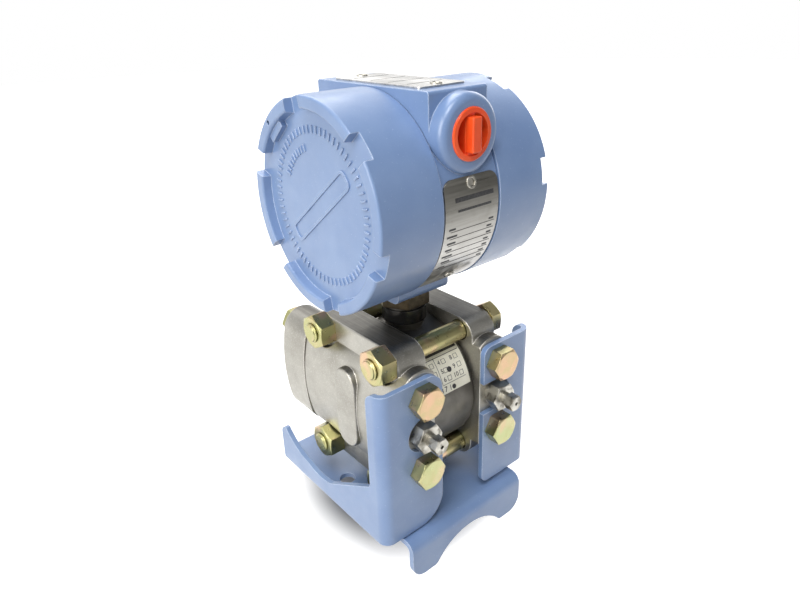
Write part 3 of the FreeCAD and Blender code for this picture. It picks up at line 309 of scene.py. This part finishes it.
def flat_bar(x, up, width, height):
    """A flat rectangle of print, which faces the front."""
    bpy.ops.mesh.primitive_plane_add(size=MM, location=(x * MM, 0, up * MM), rotation=TO_FRONT)
    bar = bpy.context.object
    bar.scale = (width, height, 1)
    return bar


def flat_box(x, up, size, line):
    """An open square, drawn with a line of its own width."""
    box = flat_bar(x, up, size, size)
    bpy.ops.object.transform_apply(location=False, rotation=False, scale=True)
    bpy.ops.object.mode_set(mode="EDIT")
    bpy.ops.mesh.inset(thickness=line * MM)
    bpy.ops.mesh.delete(type="FACE")
    bpy.ops.object.mode_set(mode="OBJECT")
    return box


def flat_dot(x, up, radius):
    bpy.ops.mesh.primitive_circle_add(vertices=20, radius=radius * MM, fill_type="NGON",
                                      location=(x * MM, 0, up * MM), rotation=TO_FRONT)
    return bpy.context.object


def flat_number(digits, x, up, height):
    """A plain number as a flat mesh."""
    bpy.ops.object.text_add(location=(x * MM, 0, up * MM), rotation=TO_FRONT)
    number = bpy.context.object
    number.data.body = digits
    number.data.size = height * MM / DIGIT_SHARE
    number.data.align_x = "CENTER"
    number.data.align_y = "CENTER"
    number.data.resolution_u = 3
    bpy.ops.object.convert(target="MESH")
    return bpy.context.object


def apply_modifier(piece, kind, **settings):
    """Adds a modifier to the active piece and applies it."""
    added = piece.modifiers.new(kind.lower(), kind)
    for name, value in settings.items():
        setattr(added, name, value)
    bpy.ops.object.modifier_apply(modifier=added.name)


def settle():
    """Puts the selected piece's place into its mesh."""
    bpy.ops.object.transform_apply(location=True, rotation=True, scale=True)


def join_marks(name, marks):
    """One mesh of all the marks, with its place in the mesh."""
    bpy.ops.object.select_all(action="DESELECT")
    for mark in marks:
        mark.select_set(True)
    bpy.context.view_layer.objects.active = marks[0]
    bpy.ops.object.join()
    joined = bpy.context.object
    settle()
    joined.name = joined.data.name = name
    bpy.ops.object.mode_set(mode="EDIT")
    bpy.ops.mesh.select_all(action="SELECT")
    bpy.ops.mesh.remove_doubles(threshold=WELD)
    bpy.ops.object.mode_set(mode="OBJECT")
    return joined


def wrap_print(print_piece, radius, axis, step=1.5):
    """Cuts flat print into strips and bends it round an axis along X, level 0 at the front."""
    heights = [vertex.co.z for vertex in print_piece.data.vertices]
    low, high = min(heights), max(heights)
    bpy.ops.object.mode_set(mode="EDIT")
    for cut in range(1, int((high - low) / (step * MM)) + 1):
        bpy.ops.mesh.select_all(action="SELECT")
        bpy.ops.mesh.bisect(plane_co=(0, 0, low + cut * step * MM), plane_no=(0, 0, 1))
    bpy.ops.object.mode_set(mode="OBJECT")
    apply_modifier(print_piece, "SIMPLE_DEFORM", deform_method="BEND", deform_axis="X",
                   angle=(high - low) / (radius * MM))
    print_piece.location = (0, (axis[0] - radius) * MM, axis[1] * MM)
    settle()


def coat(piece, finish):
    """Gives a new piece its finish."""
    piece.data.materials.clear()
    piece.data.materials.append(finish)


def on_label(turn):
    """Height on the flat print of a line that lies turn degrees from the top of the cell."""
    return math.radians(90 - turn) * LABEL_RADIUS


marks = [flat_number(digits, x, on_label(LABEL_ROWS[row]), DIGIT) for digits, x, row in NUMBERS]
marks += [flat_box(x, on_label(LABEL_ROWS[row]), BOX, RULE) for x, row in BOXES]
marks += [
    flat_dot(2.5, on_label(LABEL_ROWS[1] + 0.5), 1.5),
    flat_number("1", -10.8, on_label(LABEL_ROWS[0]), DIGIT),
    flat_number("2", -10.8, on_label(LABEL_ROWS[1]), DIGIT),
    flat_bar(-4.6, on_label(56.5), RULE, 15.0),
    flat_bar(3.6, on_label(68.2), 16.4, RULE),
    flat_bar(1.0, on_label(45.9), 24.0, HEAVY_RULE),
    flat_bar(1.0, on_label(41.5), 24.0, 2.6),
    flat_number("3", -6.0, on_label(LAST_ROW), LARGE_DIGIT),
    flat_number("7", -3.2, on_label(LAST_ROW), LARGE_DIGIT),
    flat_bar(0.0, on_label(LAST_ROW), HEAVY_RULE, 2.8),
    flat_dot(2.4, on_label(LAST_ROW + 0.4), 1.3),
]
label_print = join_marks("label_print", marks)
wrap_print(label_print, LABEL_RADIUS + PRINT_GAP, CELL_AXIS)
apply_modifier(label_print, "SOLIDIFY", thickness=INK_DEPTH * MM, offset=0)
coat(label_print, ink)
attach(label_print, "base")

# Bolts and nuts: forged steel, zinc plated and passivated yellow, with a green and pink bloom.
# The tops of the ears' upper bolts took a pinker colour than those of the lower ones.
# The threads show as fine grooves where the main bolts leave their nuts.

ZINC_GREEN = (0.43, 0.42, 0.20, 1)
ZINC_YELLOW = (0.50, 0.43, 0.22, 1)
ZINC_BLUSH = (0.64, 0.42, 0.29, 1)
ZINC_GRIME = (0.24, 0.22, 0.11, 1)
UPPER_PINK = (0.64, 0.41, 0.27, 1)
LOWER_GREEN = (0.46, 0.51, 0.27, 1)
EAR_FACE = (-58 * MM, -60 * MM)
BETWEEN_PAIRS = (60 * MM, 66 * MM)
NUT_FACE = (-43.3 * MM, -43.6 * MM)
THREAD_PITCH = 1.6

zinc, shader = start_finish("yellow_zinc", Metallic=1.0)
colour = clouds(zinc, ZINC_GREEN, ZINC_YELLOW, 65, detail=1, warp=0.5, low=0.40, high=0.60)
colour = flecks(zinc, colour, ZINC_BLUSH, 75, 1, 0.52, 0.66, 0.8, warp=0.4)
colour = flecks(zinc, colour, ZINC_GRIME, 420, 4, 0.60, 0.80, 0.12)
place = piece_place(zinc)
head_top = spread(zinc, along(zinc, surface_normal(zinc), "Y"), -0.80, -0.97, 0.3, 1.0)
on_ears = times(zinc, spread(zinc, along(zinc, place, "Y"), *EAR_FACE), head_top)
patchy = spread(zinc, grain(zinc, 120, 2, warp=0.5), 0.35, 0.55, 0.4, 1.0)
on_ears = times(zinc, on_ears, patchy)
level = along(zinc, place, "Z")
upper_pair = times(zinc, on_ears, spread(zinc, level, *BETWEEN_PAIRS, 0.0, 0.75))
lower_pair = times(zinc, on_ears, spread(zinc, level, *BETWEEN_PAIRS, 0.6, 0.0))
colour = blend_colours(zinc, upper_pair, colour, UPPER_PINK)
colour = blend_colours(zinc, lower_pair, colour, LOWER_GREEN)
paint(zinc, shader, colour)
roughen(zinc, shader, 0.25, 0.38, 300)
turns = add_node(zinc, "ShaderNodeMath", operation="PINGPONG")
turns.inputs[1].default_value = THREAD_PITCH / 2 * MM
link(zinc, along(zinc, place, "X"), turns.inputs[0])
beyond_nut = spread(zinc, along(zinc, place, "X"), *NUT_FACE)
grooves = times(zinc, spread(zinc, turns.outputs["Value"], 0, THREAD_PITCH / 2 * MM), beyond_nut)
plating = (grain(zinc, 700, 2), 0.15, 0.04 * MM)
relief(zinc, shader, [plating, (grooves, 0.7, 0.5 * MM)], 0.45 * MM)
for node in ("main_bolts", "main_nuts", "bracket_bolts", "adapter_bolts"):
    dress(node, zinc)

# Vent valves: a turned stainless seat and stem, bright from the lathe.
# Patches of oil and dust darken them here and there.

STAINLESS = (0.66, 0.64, 0.58, 1)
STAINLESS_DULL = (0.40, 0.385, 0.34, 1)
OIL = (0.10, 0.09, 0.07, 1)

bright_steel, shader = start_finish("bright_stainless", Metallic=1.0)
colour = clouds(bright_steel, STAINLESS_DULL, STAINLESS, 130)
paint(bright_steel, shader, flecks(bright_steel, colour, OIL, 170, 3, 0.50, 0.64, 0.75, warp=0.4))
roughen(bright_steel, shader, 0.27, 0.42, 400, detail=3)
tool_marks = (grain(bright_steel, 300, 2, stretch=(1, 8, 1)), 0.2, 0.04 * MM)
relief(bright_steel, shader, [tool_marks], 0.3 * MM)
for side in ("left", "right"):
    dress(f"vent_seat_{side}", bright_steel)
    dress(f"vent_stem_{side}", bright_steel)

# Neck seal: a black ring of moulded rubber round the threads, with a dusty shine.
# The same rubber makes the rings that seal the covers.

rubber, shader = start_finish("black_rubber", Base_Color=(0.014, 0.014, 0.014, 1))
roughen(rubber, shader, 0.10, 0.22, 300)
relief(rubber, shader, [(grain(rubber, 900, 3), 0.2, 0.04 * MM)], 0.4 * MM)
dress("neck_seal", rubber)
for side in ("left", "right"):
    dress(f"cover_ring_{side}", rubber)

# Neck lock nut: a thin bronze-coloured nut that locks the housing on the neck.
# It is dark all over and a little uneven from handling.

BRONZE = (0.075, 0.062, 0.042, 1)
BRONZE_DARK = (0.030, 0.024, 0.016, 1)

bronze, shader = start_finish("dark_bronze", Metallic=1.0)
paint(bronze, shader, clouds(bronze, BRONZE_DARK, BRONZE, 150))
roughen(bronze, shader, 0.26, 0.42, 400, detail=3)
relief(bronze, shader, [(grain(bronze, 700, 3), 0.2, 0.04 * MM)], 0.4 * MM)
dress("neck_lock_nut", bronze)

# Housing body and covers: die castings in aluminium, under the same blue enamel as the bracket.
# The left cover has plain marks cast on its face.
# They are a ring of ticks, a short row inside it, and an empty frame.

CASTING_PEEL = 0.09 * MM
COVER_FACE = -48.0
HOUSING_AXIS = (-14.0, 174.8)
MARK_RISE = 0.7
MARK_EDGE = 0.22
TICK = (0.95, 3.5)
RING_RADIUS = 35.6
RING_TICKS = 66
SHORT_ROW_RADIUS = 27.8
SHORT_ROW_FROM = 26
SHORT_ROW_STEP = 5.6
SHORT_ROW_TICKS = 9
FRAME_SIZE = (58.0, 10.0)
FRAME_CORNER = 3.4
FRAME_LINE = 1.5
FRAME_TURN = 38.5

casting_paint = blue_enamel("casting_enamel", CASTING_PEEL)
for node in ("housing_body", "cover_left", "cover_right"):
    dress(node, casting_paint)


def rounded_block(size, place, edge, segments):
    """A block with its edges rounded off."""
    bpy.ops.mesh.primitive_cube_add(size=MM, location=[value * MM for value in place])
    block = bpy.context.object
    block.scale = size
    settle()
    bpy.ops.object.mode_set(mode="EDIT")
    bpy.ops.mesh.select_all(action="SELECT")
    bpy.ops.mesh.bevel(offset=edge * MM, segments=segments)
    bpy.ops.object.mode_set(mode="OBJECT")
    return block


bpy.ops.object.select_all(action="DESELECT")
tick = rounded_block((MARK_RISE * 2, TICK[0], TICK[1]), (0, 0, 0), MARK_EDGE, 2)
ring = [(RING_RADIUS, 360 * step / RING_TICKS) for step in range(RING_TICKS)]
short_row = [(SHORT_ROW_RADIUS, SHORT_ROW_FROM + SHORT_ROW_STEP * step)
             for step in range(SHORT_ROW_TICKS)]
ticks = []
for radius, turn in ring + short_row:
    copy = tick.copy()
    copy.data = tick.data.copy()
    bpy.context.scene.collection.objects.link(copy)
    angle = math.radians(turn)
    copy.rotation_euler = (angle - math.pi / 2, 0, 0)
    copy.location = (COVER_FACE * MM, (HOUSING_AXIS[0] + radius * math.cos(angle)) * MM,
                     (HOUSING_AXIS[1] + radius * math.sin(angle)) * MM)
    ticks.append(copy)
bpy.data.objects.remove(tick)

bpy.ops.mesh.primitive_plane_add(size=MM, rotation=(0, -math.pi / 2, 0))
panel = bpy.context.object
panel.scale = (FRAME_SIZE[1], FRAME_SIZE[0], 1)
settle()
bpy.ops.object.mode_set(mode="EDIT")
bpy.ops.mesh.select_all(action="SELECT")
bpy.ops.mesh.bevel(offset=FRAME_CORNER * MM, segments=6, affect="VERTICES")
bpy.ops.mesh.select_all(action="SELECT")
bpy.ops.mesh.inset(thickness=FRAME_LINE * MM)
bpy.ops.mesh.delete(type="FACE")
bpy.ops.object.mode_set(mode="OBJECT")
apply_modifier(panel, "SOLIDIFY", thickness=MARK_RISE * 2 * MM, offset=0)
apply_modifier(panel, "BEVEL", width=MARK_EDGE * MM, segments=2)
panel.rotation_euler = (math.radians(-FRAME_TURN), 0, 0)
panel.location = (COVER_FACE * MM, HOUSING_AXIS[0] * MM, HOUSING_AXIS[1] * MM)
cover_marks = join_marks("cover_left_marks", [panel] + ticks)
coat(cover_marks, casting_paint)
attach(cover_marks, "cover_left")

# Terminal block: black moulded plastic on the web inside the left chamber.
# The field wires are clamped under its four plated screws.

black_moulding, shader = start_finish("black_moulding", Base_Color=(0.02, 0.02, 0.022, 1))
roughen(black_moulding, shader, 0.35, 0.5, 300, detail=3)
relief(black_moulding, shader, [(grain(black_moulding, 900, 2), 0.2, 0.04 * MM)], 0.3 * MM)
dress("terminal_block", black_moulding)
dress("terminal_screws", bright_steel)

# Circuit boards and standoffs: two round boards of green laminate on three turned brass posts.
# They stand one behind the other inside the right chamber.

LAMINATE = (0.02, 0.13, 0.055, 1)
LAMINATE_DARK = (0.012, 0.09, 0.035, 1)
BRASS = (0.66, 0.52, 0.25, 1)
BRASS_DARK = (0.50, 0.37, 0.15, 1)

green_board, shader = start_finish("green_laminate", Roughness=0.35)
weave = clouds(green_board, LAMINATE_DARK, LAMINATE, 700, detail=2, low=0.4, high=0.6)
paint(green_board, shader, weave)
relief(green_board, shader, [(grain(green_board, 900, 2), 0.15, 0.03 * MM)], 0.2 * MM)
for node in ("circuit_board_inner", "circuit_board_outer"):
    dress(node, green_board)

brass, shader = start_finish("turned_brass", Metallic=1.0)
paint(brass, shader, clouds(brass, BRASS_DARK, BRASS, 200, detail=3))
roughen(brass, shader, 0.25, 0.4, 500, detail=3)
relief(brass, shader, [(grain(brass, 600, 2, stretch=(6, 1, 1)), 0.2, 0.03 * MM)], 0.2 * MM)
dress("board_standoffs", brass)

# Conduit plug: an orange-red plastic cup pushed into the front conduit entry.
# It is moulded in one, with a bar across its mouth that stands proud of the rim to pull it by.

BAR_SIZE = (5.5, 6.6, 15.4)
BAR_AT = (0, -63.4, 207.5)
BAR_EDGE = 0.7
ORANGE = (0.88, 0.105, 0.02, 1)
ORANGE_DEEP = (0.80, 0.075, 0.012, 1)

orange, shader = start_finish("orange_plastic", Roughness=0.34, Subsurface_Weight=0.12,
                              Subsurface_Scale=0.8 * MM)
paint(orange, shader, clouds(orange, ORANGE_DEEP, ORANGE, 90, detail=3))
relief(orange, shader, [(grain(orange, 500, 2), 0.12, 0.04 * MM)], 0.35 * MM)
dress("conduit_plug", orange)


def pick_only(piece):
    """Makes a piece the only one selected, and the active one."""
    bpy.ops.object.select_all(action="DESELECT")
    piece.select_set(True)
    bpy.context.view_layer.objects.active = piece


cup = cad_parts["conduit_plug"].data.copy()
moulding = bpy.data.objects.new("conduit_plug_moulding", cup)
bpy.context.scene.collection.objects.link(moulding)
pick_only(moulding)
bpy.ops.object.mode_set(mode="EDIT")
bpy.ops.mesh.select_all(action="SELECT")
bpy.ops.mesh.remove_doubles(threshold=WELD)
bpy.ops.object.mode_set(mode="OBJECT")
pull_bar = rounded_block(BAR_SIZE, BAR_AT, BAR_EDGE, 3)
pick_only(moulding)
apply_modifier(moulding, "BOOLEAN", operation="UNION", object=pull_bar)
bpy.data.objects.remove(pull_bar)
coat(moulding, orange)
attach(moulding, "conduit_plug")
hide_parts("conduit_plug")

# Nameplate and top plate: brushed stainless sheet, each held by two rivets with hollow heads.
# The print on them is thin black ink: two bars, then rules with short marks at their ends.
# The nameplate is darker towards the top as a painted reflection, and has a dark smear low down.

PLATE_RADIUS = 50.42
PLATE_TOP = 227.1
PLATE = (0.68, 0.67, 0.65, 1)
PLATE_BRUSHED = (0.52, 0.51, 0.49, 1)
PLATE_SMUDGE = (0.34, 0.33, 0.31, 1)
PLATE_PAINTED_DARK = (0.13, 0.122, 0.095, 1)
SMEAR = (0.10, 0.095, 0.09, 1)
SMEAR_FROM = (137.5 * MM, 141.5 * MM)
SMEAR_TO = (147.0 * MM, 143.5 * MM)
PAINTED_DARK_FROM = (148 * MM, 182 * MM)
PAINTED_DARK_TO = (222 * MM, 216 * MM)
PLATE_ROWS = 7
FIRST_ROW = -8.4
ROW_PITCH = 4.1
ROW_RULE = (28.0, 0.22)
MARK_HEIGHT = 0.9
TOP_RULE = (21.0, 0.25)
TOP_RULE_PITCH = 13.0
RIVET_ANGLES = (13.5, -46.0)
TOP_RIVETS = (-41.0, 13.0)
RIVET_RADIUS = 2.9
RIVET_HEIGHT = 1.2
RIVET_RIM = (0.4, 0.6)
HOLLOW_DEPTH = 1.0
SMOOTH_BELOW = math.radians(40)

brushed, shader = start_finish("brushed_plate", Metallic=1.0, Anisotropic=0.5)
brush_lines = grain(brushed, 700, 3, stretch=(0.04, 1, 1))
colour = blend_colours(brushed, spread(brushed, brush_lines, 0.35, 0.65), PLATE_BRUSHED, PLATE)
colour = flecks(brushed, colour, PLATE_SMUDGE, 60, 4, 0.50, 0.72, 0.5, warp=0.5)
level = along(brushed, piece_place(brushed), "Z")
smear_band = times(brushed, spread(brushed, level, *SMEAR_FROM), spread(brushed, level, *SMEAR_TO))
streaks = spread(brushed, grain(brushed, 120, 4, stretch=(1, 1, 0.5), warp=0.6), 0.36, 0.56)
colour = blend_colours(brushed, times(brushed, smear_band, streaks), colour, SMEAR)
# Darker colour over the upper part of the nameplate is a painted reflection.
painted_dark_top = times(brushed, spread(brushed, level, *PAINTED_DARK_FROM, 0.18, 0.74),
             spread(brushed, level, *PAINTED_DARK_TO))
paint(brushed, shader, blend_colours(brushed, painted_dark_top, colour, PLATE_PAINTED_DARK))
link(brushed, spread(brushed, brush_lines, 0.3, 0.7, 0.26, 0.42), shader.inputs["Roughness"])
relief(brushed, shader, [(brush_lines, 0.15, 0.02 * MM)], 0.25 * MM)
for node in ("nameplate", "top_plate"):
    dress(node, brushed)


def on_plate(turn):
    """Height on the flat print of a line turn degrees above the front of the housing."""
    return math.radians(turn) * PLATE_RADIUS


marks = [flat_bar(1.4, on_plate(6.3), 24.0, 2.1), flat_bar(1.4, on_plate(0.6), 21.0, 1.1)]
for row in range(PLATE_ROWS):
    up = on_plate(FIRST_ROW - ROW_PITCH * row)
    marks.append(flat_bar(1.0, up - 1.3, *ROW_RULE))
    marks.append(flat_bar(-12.2 + 0.4 * (row % 3), up, 4.0 + 1.1 * (row * 2 % 3), MARK_HEIGHT))
    marks.append(flat_bar(12.6 - 0.6 * (row % 2), up, 3.0, MARK_HEIGHT))
nameplate_print = join_marks("nameplate_print", marks)
wrap_print(nameplate_print, PLATE_RADIUS + PRINT_GAP, HOUSING_AXIS)
apply_modifier(nameplate_print, "SOLIDIFY", thickness=INK_DEPTH * MM, offset=0)

marks = [flat_bar(0, 19.5 - TOP_RULE_PITCH * row, *TOP_RULE) for row in range(4)]
top_print = join_marks("top_plate_print", marks)
apply_modifier(top_print, "SOLIDIFY", thickness=INK_DEPTH * MM, offset=0)
top_print.rotation_euler = (-math.pi / 2, 0, 0)
top_print.location = (0, HOUSING_AXIS[0] * MM, (PLATE_TOP + 0.02) * MM)
settle()
for print_piece in (nameplate_print, top_print):
    coat(print_piece, ink)
    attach(print_piece, "housing")


def rivet(turn, place):
    """One rivet head with a hollow in its top, turned from upright towards the front."""
    bpy.ops.object.select_all(action="DESELECT")
    bpy.ops.mesh.primitive_cylinder_add(vertices=40, radius=RIVET_RADIUS * MM,
                                        depth=RIVET_HEIGHT * MM,
                                        location=(0, 0, RIVET_HEIGHT / 2 * MM))
    head = bpy.context.object
    bpy.ops.object.mode_set(mode="EDIT")
    bpy.ops.mesh.select_mode(type="FACE")
    bpy.ops.mesh.select_all(action="DESELECT")
    bpy.ops.object.mode_set(mode="OBJECT")
    for face in head.data.polygons:
        face.select = face.normal.z > 0.9
    bpy.ops.object.mode_set(mode="EDIT")
    for width in RIVET_RIM:
        bpy.ops.mesh.inset(thickness=width * MM)
    bpy.ops.mesh.extrude_region_move(TRANSFORM_OT_translate={"value": (0, 0, -HOLLOW_DEPTH * MM)})
    bpy.ops.object.mode_set(mode="OBJECT")
    apply_modifier(head, "BEVEL", width=0.2 * MM, segments=3)
    head.rotation_euler = (turn, 0, 0)
    head.location = [value * MM for value in place]
    return head


heads = []
for turn in RIVET_ANGLES:
    angle = math.radians(turn)
    place = (0, HOUSING_AXIS[0] - PLATE_RADIUS * math.cos(angle),
             HOUSING_AXIS[1] + PLATE_RADIUS * math.sin(angle))
    heads.append(rivet(math.pi / 2 - angle, place))
plate_rivets = join_marks("nameplate_rivets", heads)
heads = [rivet(0, (0, y, PLATE_TOP)) for y in TOP_RIVETS]
top_rivets = join_marks("top_plate_rivets", heads)
for rivets, node in ((plate_rivets, "nameplate_screws"), (top_rivets, "top_plate_screws")):
    pick_only(rivets)
    bpy.ops.object.shade_smooth_by_angle(angle=SMOOTH_BELOW)
    coat(rivets, bright_steel)
    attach(rivets, "housing")
    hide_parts(node)

# Studio: a pale floor that keeps a soft shadow, soft lamps, and the camera.
# The floor shines white towards the horizon. Its glow fades out in a disc round the base, a painted
# contact shadow, where only the lamps light it.
# Metal and paint reflect a room that is darker above and in front.

FLOOR_GREY = (0.46, 0.46, 0.46, 1)
FLOOR_GLOW = 0.92
FLOOR_RADIUS = 3.0
WHITE = (1, 1, 1, 1)
DARK_SIDE = 0.22
AMBIENT = 0.15
WARM = (1.0, 0.965, 0.90)
NEUTRAL = (1, 1, 1)

pale_floor, shader = start_finish("pale_floor", Base_Color=FLOOR_GREY, Roughness=0.8,
                                  Emission_Color=WHITE)
rays = add_node(pale_floor, "ShaderNodeLightPath")
place = piece_place(pale_floor)
lit_side = spread(pale_floor, along(pale_floor, place, "Y"), -0.16, -0.50, 1.0, DARK_SIDE)
seen = add_node(pale_floor, "ShaderNodeMath", operation="MAXIMUM")
link(pale_floor, rays.outputs["Is Camera Ray"], seen.inputs[0])
link(pale_floor, times(pale_floor, rays.outputs["Is Glossy Ray"], lit_side), seen.inputs[1])
away = add_node(pale_floor, "ShaderNodeVectorMath", operation="LENGTH")
link(pale_floor, place, away.inputs[0])
# No glow in a disc round the base leaves the floor darker there: a painted contact shadow round the
# lamps' real shadow.
glow_outside_shadow_disc = spread(pale_floor, away.outputs["Value"], 0.040, 0.066, 0.0, FLOOR_GLOW)
far = spread(pale_floor, away.outputs["Value"], 0.3, 1.0, 1.0, 1.25)
glow = times(pale_floor, seen.outputs["Value"], times(pale_floor, glow_outside_shadow_disc, far))
link(pale_floor, glow, shader.inputs["Emission Strength"])
bpy.ops.object.select_all(action="DESELECT")
bpy.ops.mesh.primitive_circle_add(vertices=96, radius=FLOOR_RADIUS, fill_type="NGON",
                                  location=(0, 0, cad_box[0][2]))
floor = bpy.context.object
floor.name = "studio_floor"
coat(floor, pale_floor)

world = bpy.data.worlds.new("studio")
world.use_nodes = True
bpy.context.scene.world = world
tree = world.node_tree
background = tree.nodes["Background"]
background.inputs["Color"].default_value = WHITE


def mix_strength(factor, first, last):
    """A mix of two strengths, each a number or another mix."""
    mix = tree.nodes.new("ShaderNodeMix")
    tree.links.new(factor, mix.inputs["Factor"])
    for name, value in (("A", first), ("B", last)):
        if isinstance(value, float):
            mix.inputs[name].default_value = value
        else:
            tree.links.new(value, mix.inputs[name])
    return mix.outputs["Result"]


rays = tree.nodes.new("ShaderNodeLightPath")
view = tree.nodes.new("ShaderNodeTexCoord").outputs["Generated"]
ceiling = spread(world, along(world, view, "Z"), 0.42, 0.85, 1.0, 0.25)
front = spread(world, along(world, view, "Y"), -0.35, 0.25, DARK_SIDE, 1.0)
strength = mix_strength(rays.outputs["Is Glossy Ray"], AMBIENT, times(world, ceiling, front))
strength = mix_strength(rays.outputs["Is Transmission Ray"], strength, 1.0)
strength = mix_strength(rays.outputs["Is Camera Ray"], strength, 1.0)
tree.links.new(strength, background.inputs["Strength"])


def softbox(name, place, toward, width, power, colour=NEUTRAL):
    """A square area lamp that points at the object."""
    lamp = bpy.data.lights.new(name, "AREA")
    lamp.color = colour
    lamp.shape = "RECTANGLE"
    lamp.size = lamp.size_y = width
    lamp.energy = power
    stand = bpy.data.objects.new(name, lamp)
    bpy.context.scene.collection.objects.link(stand)
    stand.location = place
    aim = Vector(toward) - Vector(place)
    stand.rotation_euler = aim.to_track_quat("-Z", "Y").to_euler()


AIM = (0, 0, 0.1)
softbox("key_left", (-1.5, -0.25, 0.7), AIM, 1.1, 22, WARM)
softbox("top_left", (-0.5, -0.5, 1.5), AIM, 0.8, 17)
softbox("top_back", (0.2, 0.8, 1.3), AIM, 1.2, 14)
softbox("front", (0.4, -1.5, 0.7), AIM, 0.9, 1.5)
softbox("fill_right", (1.4, 0.5, 0.6), AIM, 1.0, 7)

EYE = Vector((-0.2009, -0.2570, 0.2610))
AZIMUTH, ELEVATION, ROLL = math.radians(-39.17), math.radians(23.2), math.radians(-1.92)
FOCAL_LENGTH = 29.014
SENSOR_WIDTH = 36
SHIFT = (0.00144, -0.02864)

back = Vector((math.sin(AZIMUTH) * math.cos(ELEVATION), -math.cos(AZIMUTH) * math.cos(ELEVATION),
               math.sin(ELEVATION)))
across = Vector((math.cos(AZIMUTH), math.sin(AZIMUTH), 0))
upward = back.cross(across)
right = across * math.cos(ROLL) + upward * math.sin(ROLL)
up = upward * math.cos(ROLL) - across * math.sin(ROLL)
lens = bpy.data.cameras.new("camera")
lens.sensor_width = SENSOR_WIDTH
lens.lens = FOCAL_LENGTH
lens.shift_x, lens.shift_y = SHIFT
lens.clip_start = 0.01
camera = bpy.data.objects.new("camera", lens)
bpy.context.scene.collection.objects.link(camera)
camera.matrix_world = Matrix.Translation(EYE) @ Matrix((right, up, back)).transposed().to_4x4()
bpy.context.scene.camera = camera
bpy.context.scene.view_settings.view_transform = "Standard"
